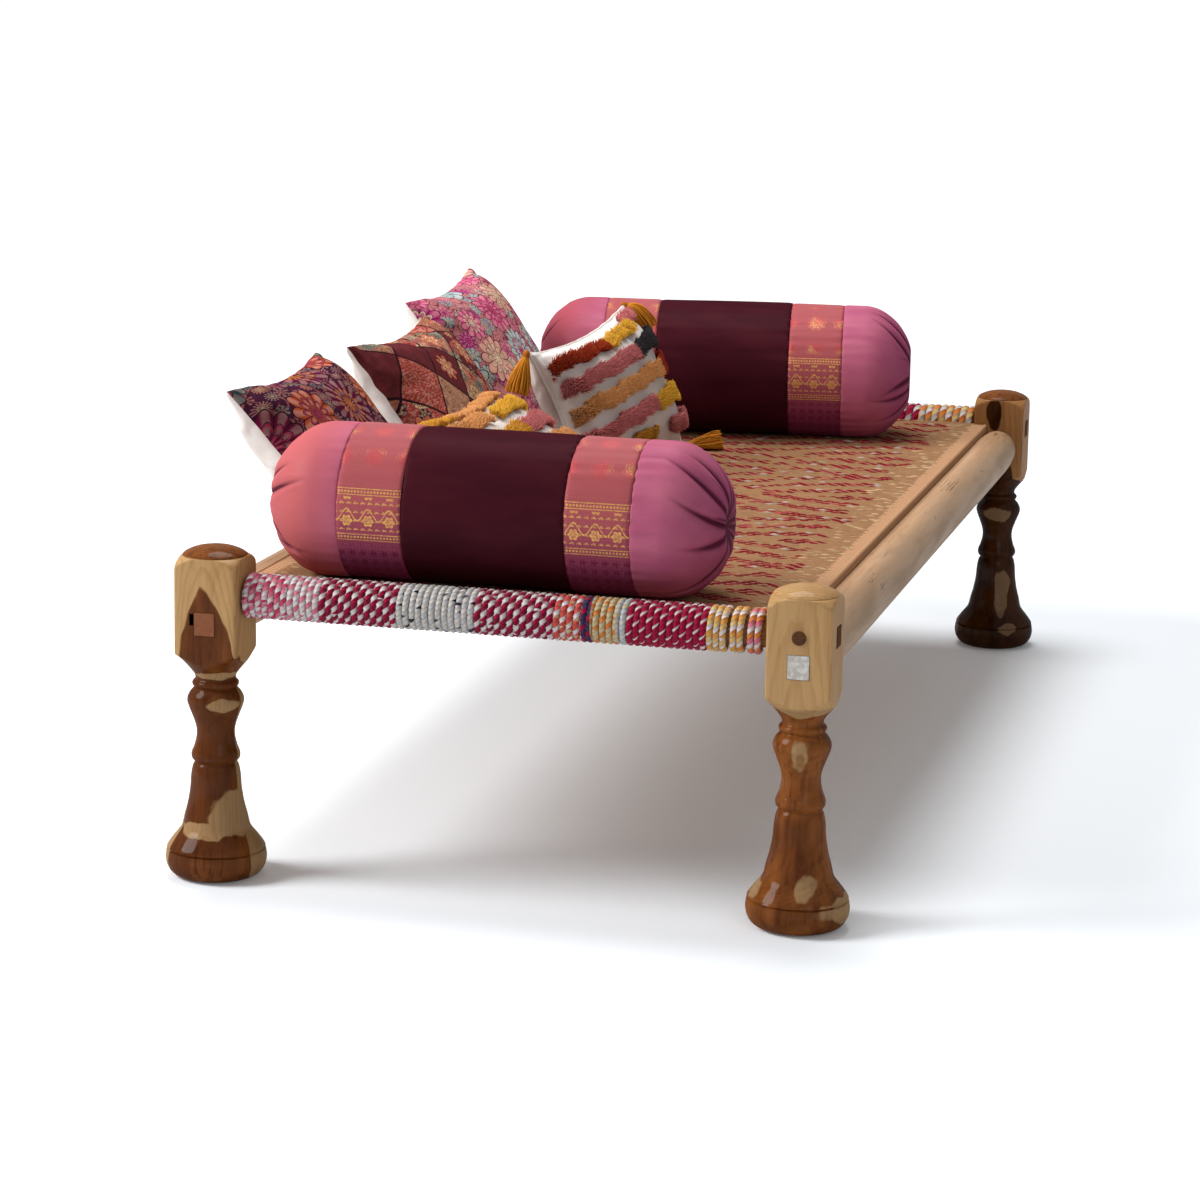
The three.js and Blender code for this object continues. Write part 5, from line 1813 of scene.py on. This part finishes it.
def sewn_cushion(name, spec, face_finish, back_finish):
    """One cushion: both panels on a grid, sewn at the rim, stuffed, creased and posed."""
    length, height, thickness, inset, middle_y, lean, turn, dip, drop, seed = spec
    chance = np.random.default_rng(seed)
    columns, rows = cushion_columns, cushion_rows
    dip *= seam_dip_share
    shares = []
    index = {}

    def mark(column, row, side):
        s, t = 2 * column / columns - 1, 2 * row / rows - 1
        on_rim = column in (0, columns) or row in (0, rows)
        key = (column, row, 0 if on_rim else side)
        index[key] = len(shares)
        shares.append((s * (1.15 - 0.15 * s * s), t * (1.15 - 0.15 * t * t), key[2]))

    rim = [(column, 0) for column in range(columns)]
    rim += [(columns, row) for row in range(rows)]
    rim += [(column, rows) for column in range(columns, 0, -1)]
    rim += [(0, row) for row in range(rows, 0, -1)]
    for column, row in rim:
        mark(column, row, 0)
    for side in (1, -1):
        for row in range(1, rows):
            for column in range(1, columns):
                mark(column, row, side)

    def at(column, row, side):
        on_rim = column in (0, columns) or row in (0, rows)
        return index[(column, row, 0 if on_rim else side)]

    faces, places = [], []
    for side in (1, -1):
        for row in range(rows):
            for column in range(columns):
                around = [
                    (column, row), (column + 1, row), (column + 1, row + 1), (column, row + 1)
                ]
                around = around if side > 0 else around[::-1]
                faces.append([at(c, r, side) for c, r in around])
                places.append(around)
    points = [
        pillow_form(u, v, side, length, height, thickness, dip, drop, swell_start)
        for u, v, side in shares
    ]
    points = swelled(f"{name}_cover", points, faces, len(rim))
    gathers = [(chance.random() * len(rim), 1.5 + 3.5 * chance.random()) for _ in range(46)]
    rim_line = {}
    for step, (column, row) in enumerate(rim):
        rim_line[step] = sum(
            math.exp(-(((step - where + len(rim) / 2) % len(rim) - len(rim) / 2) / wide) ** 2)
            for where, wide in gathers
        )
    for step in range(len(rim)):
        points[step][2] += 0.0012 * (rim_line[step] - 1.2) * math.sin(step * 0.9)
    along = Vector((0, 1, 0))
    up = Vector((-math.sin(lean), 0, math.cos(lean)))
    out = Vector((math.cos(lean), 0, math.sin(lean)))
    pose = Matrix((along, up, out)).transposed().to_4x4()
    pose = Matrix.Rotation(turn, 4, "Z") @ pose
    stood = np.array([tuple(pose @ Vector(point)) for point in points])
    place = np.array((cushion_left + inset, middle_y, cushion_rest - stood[:, 2].min()))
    world = stood + place
    mesh = bpy.data.meshes.new(name)
    mesh.from_pydata([tuple(point) for point in world], [], faces)
    layer = mesh.uv_layers.new(name="cloth")
    marks = []
    for around in places:
        for column, row in around:
            marks += [column / columns * length, row / rows * height]
    layer.data.foreach_set("uv", marks)
    mesh.materials.append(face_finish)
    mesh.materials.append(back_finish)
    mesh.polygons.foreach_set("material_index", [0] * (len(faces) // 2) + [1] * (len(faces) // 2))
    mesh.polygons.foreach_set("use_smooth", [True] * len(faces))
    cover = add_object(f"{name}_cover", mesh)
    smooth = cover.modifiers.new("smooth", "SUBSURF")
    smooth.levels = smooth.render_levels = 1
    settle(cover)
    full = Matrix.Translation(place) @ pose
    seam = [tuple(cover.data.vertices[step].co) for step in range(len(rim))]

    def on_face(u, v, side=1):
        """A point of the posed face and the way it faces."""
        column = (u + 1) / 2 * columns
        row = (v + 1) / 2 * rows
        c, r = min(int(column), columns - 1), min(int(row), rows - 1)
        a, b = world[at(c, r, side)], world[at(c + 1, r, side)]
        c2, d = world[at(c, r + 1, side)], world[at(c + 1, r + 1, side)]
        s, t = column - c, row - r
        spot = (a * (1 - s) + b * s) * (1 - t) + (c2 * (1 - s) + d * s) * t
        facing = np.cross(b - a + d - c2, c2 - a + d - b)
        return spot, facing / np.linalg.norm(facing)

    return cover, full, seam, on_face


def swept_cord(name, line, radius, finish):
    """A closed round cord through a loop of points."""
    curve = bpy.data.curves.new(name, "CURVE")
    curve.dimensions = "3D"
    curve.bevel_depth = radius
    curve.bevel_resolution = 2
    spline = curve.splines.new("POLY")
    spline.points.add(len(line) - 1)
    spline.points.foreach_set("co", [part for point in line for part in (*point, 1)])
    spline.use_cyclic_u = True
    guide = add_object(f"{name}_guide", curve)
    mesh = bpy.data.meshes.new_from_object(
        guide.evaluated_get(bpy.context.evaluated_depsgraph_get())
    )
    bpy.data.objects.remove(guide)
    mesh.materials.clear()
    mesh.materials.append(finish)
    mesh.polygons.foreach_set("use_smooth", [True] * len(mesh.polygons))
    return add_object(name, mesh)


printed_faces = {
    "cushion_mandala": (mandala_print, "print_mandala"),
    "cushion_patchwork": (patchwork_print, "print_patchwork"),
    "cushion_floral": (floral_print, "print_floral"),
}
posed_cushions = {}
for name, spec in cushions.items():
    face_finish, slot_name = printed_faces.get(name, (cream_finish, "tufted_cotton"))
    cover, full, seam, on_face = sewn_cushion(name, spec, face_finish, cream_finish)
    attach(cover, name)
    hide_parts(name)
    posed_cushions[name] = (full, on_face)
    if name not in printed_faces:
        piping = swept_cord(f"{name}_piping", seam, 0.0028, cream_finish)
        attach(piping, name)
        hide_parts(name)


# Raised stripes of the two cream cushions: cut loops of soft yarn tufted through the cover
# in slanting rows, several colours to a row.

tuft_apart = 0.0040
tuft_height = 0.0100
stripe_half_width = 0.0105
tuft_colours = {
    "pink": (0.560, 0.165, 0.160), "mustard": (0.640, 0.300, 0.040),
    "charcoal": (0.040, 0.034, 0.036), "rust": (0.300, 0.032, 0.010),
    "peach": (0.680, 0.310, 0.110), "yellow": (0.700, 0.370, 0.040),
}
# For each stripe: how far it lies below the top edge, and the shares of the length where
# its colours start and end.
upright_stripes = [
    (0.026, [(0.74, 0.96, "pink")]), (0.040, [(0.01, 0.46, "rust"), (0.46, 0.76, "yellow")]),
    (0.084, [(0.02, 0.62, "pink"), (0.62, 0.98, "charcoal")]),
    (0.128, [(0.01, 0.78, "peach"), (0.78, 0.98, "rust")]),
    (0.174, [(0.02, 0.60, "pink"), (0.60, 0.98, "yellow")]),
    (0.220, [(0.08, 0.56, "mustard"), (0.70, 0.98, "pink")]),
]
low_stripes = [
    (0.026, [(0.04, 0.30, "mustard"), (0.30, 0.97, "peach")]),
    (0.070, [(0.03, 0.42, "peach"), (0.50, 0.98, "yellow")]),
    (0.116, [(0.02, 0.52, "mustard"), (0.52, 0.98, "pink")]),
    (0.162, [(0.02, 0.40, "pink"), (0.40, 0.98, "peach")]),
    (0.208, [(0.03, 0.60, "rust"), (0.60, 0.97, "mustard")]),
]

tuft_finish = empty_material("tufted_yarn")
fibres = speckle(object_place(), 900, 2)
colour = shaded_by(ramp(fibres, 0.3, 0.7, 0.75, 1.15), stored("tint", "Color"))
finished(colour, 0.95, bumped(fibres, 0.3, 0.0006), Specular_IOR_Level=0.08)

tuft_maker, takes, gives = new_maker("tufts", [("Finish", "Material"), ("Height", "Float")])
blade = add_node(
    "GeometryNodeMeshCone",
    {
        "Vertices": 3, "Side Segments": 1, "Fill Segments": 1, "Radius Top": 0.0005,
        "Radius Bottom": 0.0011, "Depth": takes["Height"],
    },
)
ring_of_blades = add_node("GeometryNodeMeshCircle", {"Vertices": 5, "Radius": 0.0011})
number = add_node("GeometryNodeInputIndex")[0]
blade_turn = joined(0.0, 0.34, number * (2 * math.pi / 5))
one_tuft = add_node(
    "GeometryNodeInstanceOnPoints",
    {"Points": ring_of_blades[0], "Instance": blade[0], "Rotation": blade_turn},
)
one_tuft = add_node("GeometryNodeRealizeInstances", {0: one_tuft[0]})
facing = read_back("facing", "FLOAT_VECTOR")
aligned = add_node("FunctionNodeAlignRotationToVector", {"Vector": facing}, axis="Z")[0]
scattered = add_node(
    "FunctionNodeRandomValue", {0: (-0.35, -0.35, -3.1), 1: (0.35, 0.35, 3.1), "Seed": 5},
    data_type="FLOAT_VECTOR",
)
spun = add_node(
    "FunctionNodeRotateRotation", {0: aligned, 1: scattered[0]}, rotation_space="LOCAL"
)[0]
strewn = add_node(
    "GeometryNodeInstanceOnPoints",
    {"Points": takes[0], "Instance": one_tuft[0], "Rotation": spun},
)
finish_maker(strewn[0], takes, gives)

for name, stripes, stripe_rise, seed in [
    ("cushion_tufted_upright", upright_stripes, 0.034, 31),
    ("cushion_tufted_low", low_stripes, 0.0, 32),
]:
    length, height = cushions[name][:2]
    on_face = posed_cushions[name][1]
    chance = np.random.default_rng(seed)
    spots, tints, facings = [], [], []
    for below, runs in stripes:
        for start, end, colour_name in runs:
            steps = int((end - start) * length / tuft_apart)
            for step in range(steps):
                for lane in np.arange(-stripe_half_width, stripe_half_width + 0.001, tuft_apart):
                    a = start * length + (step + 0.8 * chance.random()) * tuft_apart
                    wander = 0.0022 * math.sin(a * 61 + below * 200) + 0.0012 * math.sin(a * 147)
                    b = below + lane + wander + 0.8 * (chance.random() - 0.5) * tuft_apart
                    b -= stripe_rise * (a / length - 0.5)
                    shade = 0.82 + 0.32 * chance.random()
                    u, v = 2 * a / length - 1, 1 - 2 * b / height
                    if abs(u) > 0.965 or abs(v) > 0.94:
                        continue
                    spot, facing = on_face(u, v)
                    spots.append(tuple(spot + facing * tuft_height * 0.36))
                    tints += [*(part * shade for part in tuft_colours[colour_name]), 1]
                    facings += list(facing)
    base = bpy.data.meshes.new(f"{name}_tuft_places")
    base.from_pydata(spots, [], [])
    base.attributes.new("tint", "FLOAT_COLOR", "POINT").data.foreach_set("color", tints)
    base.attributes.new("facing", "FLOAT_VECTOR", "POINT").data.foreach_set("vector", facings)
    tufts = made_by(
        tuft_maker, f"{name}_tufts", base, {"Finish": tuft_finish, "Height": tuft_height}
    )
    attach(tufts, name)
    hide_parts(name)


# Tassels: one at each corner of the cream cushions, a wound head and a skirt of loose
# mustard yarn, hanging from the top corners and lying on the bed at the foot.

tassel_length = 0.072
tassel_skirt = 0.0215
tassel_body = 0.0190
tassel_neck = 0.0045
tassel_head = 0.006
tassel_head_length = 0.013
strand_count = 90
strand_steps = 9
strand_radius = 0.00085
golden_turn = 2.39996
foot_angle = math.pi / 3
foot_slope = 0.132
foot_floor = 0.4060

yarn_finish = empty_material("mustard_yarn")
fibres = speckle(object_place(), 1100, 2)
tint = stored("tint", "Fac")
colour = blend_colours(tint, (0.380, 0.120, 0.008, 1), (0.700, 0.285, 0.024, 1))
finished(colour, 0.72, bumped(fibres, 0.3, 0.0005), Specular_IOR_Level=0.1)

strand_maker, takes, gives = new_maker(
    "tassel_strands", [("Finish", "Material"), ("Radius", "Float")]
)
paths = add_node("GeometryNodeMeshToCurve", {0: takes[0]})
profile = add_node(
    "GeometryNodeCurvePrimitiveCircle", {"Resolution": 5, "Radius": takes["Radius"]}
)
tubes = add_node(
    "GeometryNodeCurveToMesh",
    {"Curve": paths[0], "Profile Curve": profile[0], "Fill Caps": True},
)
finish_maker(tubes[0], takes, gives)


def hung_tassel(name, body, node, head, direction, lying, arch, seed):
    """A tassel from its head's widest ring, with its skirt along a direction."""
    chance = np.random.default_rng(seed)
    axis = Vector(direction).normalized()
    side = axis.cross(Vector((0, 0, 1) if abs(axis.z) < 0.9 else (1, 0, 0))).normalized()
    other = axis.cross(side)

    def place(far, angle, along):
        spot = Vector(head) + axis * along
        spot += (side * math.cos(angle) + other * math.sin(angle)) * far
        share = max(0.0, min(1.0, along / tassel_length))
        spot.z += arch * 4 * share * (1 - share)
        if lying:
            low = foot_floor + 0.0009
            spot.z = low + 0.003 * math.log1p(math.exp(min(40.0, (spot.z - low) / 0.003))) - 0.002
            spot.z = max(spot.z, low)
        return tuple(spot)

    neck_at = tassel_head_length / 2
    hem_at = tassel_length - neck_at
    verts, edges, tints = [], [], []
    for strand in range(strand_count):
        angle = strand * golden_turn
        depth = math.sqrt((strand + 0.5) / strand_count)
        shade = 0.15 + 0.85 * chance.random()
        sway, phase = chance.random(2)
        for step in range(strand_steps + 1):
            share = step / strand_steps
            wide = (1 - share) ** 2 * tassel_neck + 2 * share * (1 - share) * tassel_body
            wide += share**2 * tassel_skirt
            wobble = 0.0011 * share * math.sin(share * 9 + phase * 6.3)
            far = wide * depth * 0.94 + wobble
            along = neck_at - 0.002 + (hem_at - neck_at) * share * (0.965 + 0.05 * sway)
            verts.append(place(max(0.0006, far), angle + 0.35 * share * (phase - 0.5), along))
            tints.append(shade)
            if step:
                edges.append((len(verts) - 2, len(verts) - 1))
    base = bpy.data.meshes.new(f"{name}_paths")
    base.from_pydata(verts, edges, [])
    base.attributes.new("tint", "FLOAT", "POINT").data.foreach_set("value", tints)
    skirt = made_by(
        strand_maker, f"{name}_skirt", base, {"Finish": yarn_finish, "Radius": strand_radius}
    )
    line = [
        (0.0, -tassel_head_length / 2), (0.0032, -0.0058), (0.0052, -0.0030),
        (tassel_head - 0.0003, 0.0), (0.0056, 0.0024), (0.0047, 0.0044), (0.0052, 0.0052),
        (0.0055, 0.0062), (0.0052, 0.0072), (0.0047, 0.0080), (0.0040, 0.0088), (0.0, 0.0090),
    ]
    rings = turned_rings(
        line, whole_turn(24),
        lambda far, along, angles: far * (1 + 0.035 * np.cos(12 * angles + along * 900)),
        lambda x, y, along: place(math.hypot(x, y), math.atan2(y, x), along),
    )
    knot = skinned_piece(f"{name}_head", rings, yarn_finish)
    for piece in (skirt, knot):
        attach(piece, body)
        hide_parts(node)


# For each cushion: the start of its tassels' names, the ways its near and far top tassels
# hang, how far the far one arches, and its seed.
for body, prefix, near_way, far_way, far_arch, seed in [
    (
        "cushion_tufted_upright", "tassel_upright", (-0.15, -0.25, -1), (0.55, 0.35, -0.75),
        0.014, 41,
    ),
    ("cushion_tufted_low", "tassel_low", (1.3, -0.25, -1), (1.3, 0.25, -1), 0.0, 51),
]:
    length, height, _, _, _, _, turn, _, drop, _ = cushions[body]
    full = posed_cushions[body][0]
    head_reach = tassel_head * math.cos(math.pi / 6)
    spin = Matrix.Rotation(turn, 3, "Z")
    for index, (corner_name, far, top, way) in enumerate(
        [
            ("near_top", -1, True, near_way), ("far_top", 1, True, far_way),
            ("near_foot", -1, False, None), ("far_foot", 1, False, None),
        ]
    ):
        low = drop if top and far < 0 else 0.0
        corner = full @ Vector((far * length / 2, height - low if top else 0.0, 0))
        if not top:
            corner.z = foot_floor + head_reach - 0.0005
            way = (math.sin(foot_angle), far * math.cos(foot_angle), foot_slope)
        head = corner + spin @ Vector((0, far * (head_reach + 0.0003), 0))
        node = f"{prefix}_{corner_name}"
        arch = far_arch if top and far > 0 else 0.0
        hung_tassel(
            f"{node}_yarn", body, node, head, spin @ Vector(way), not top, arch, seed + index
        )
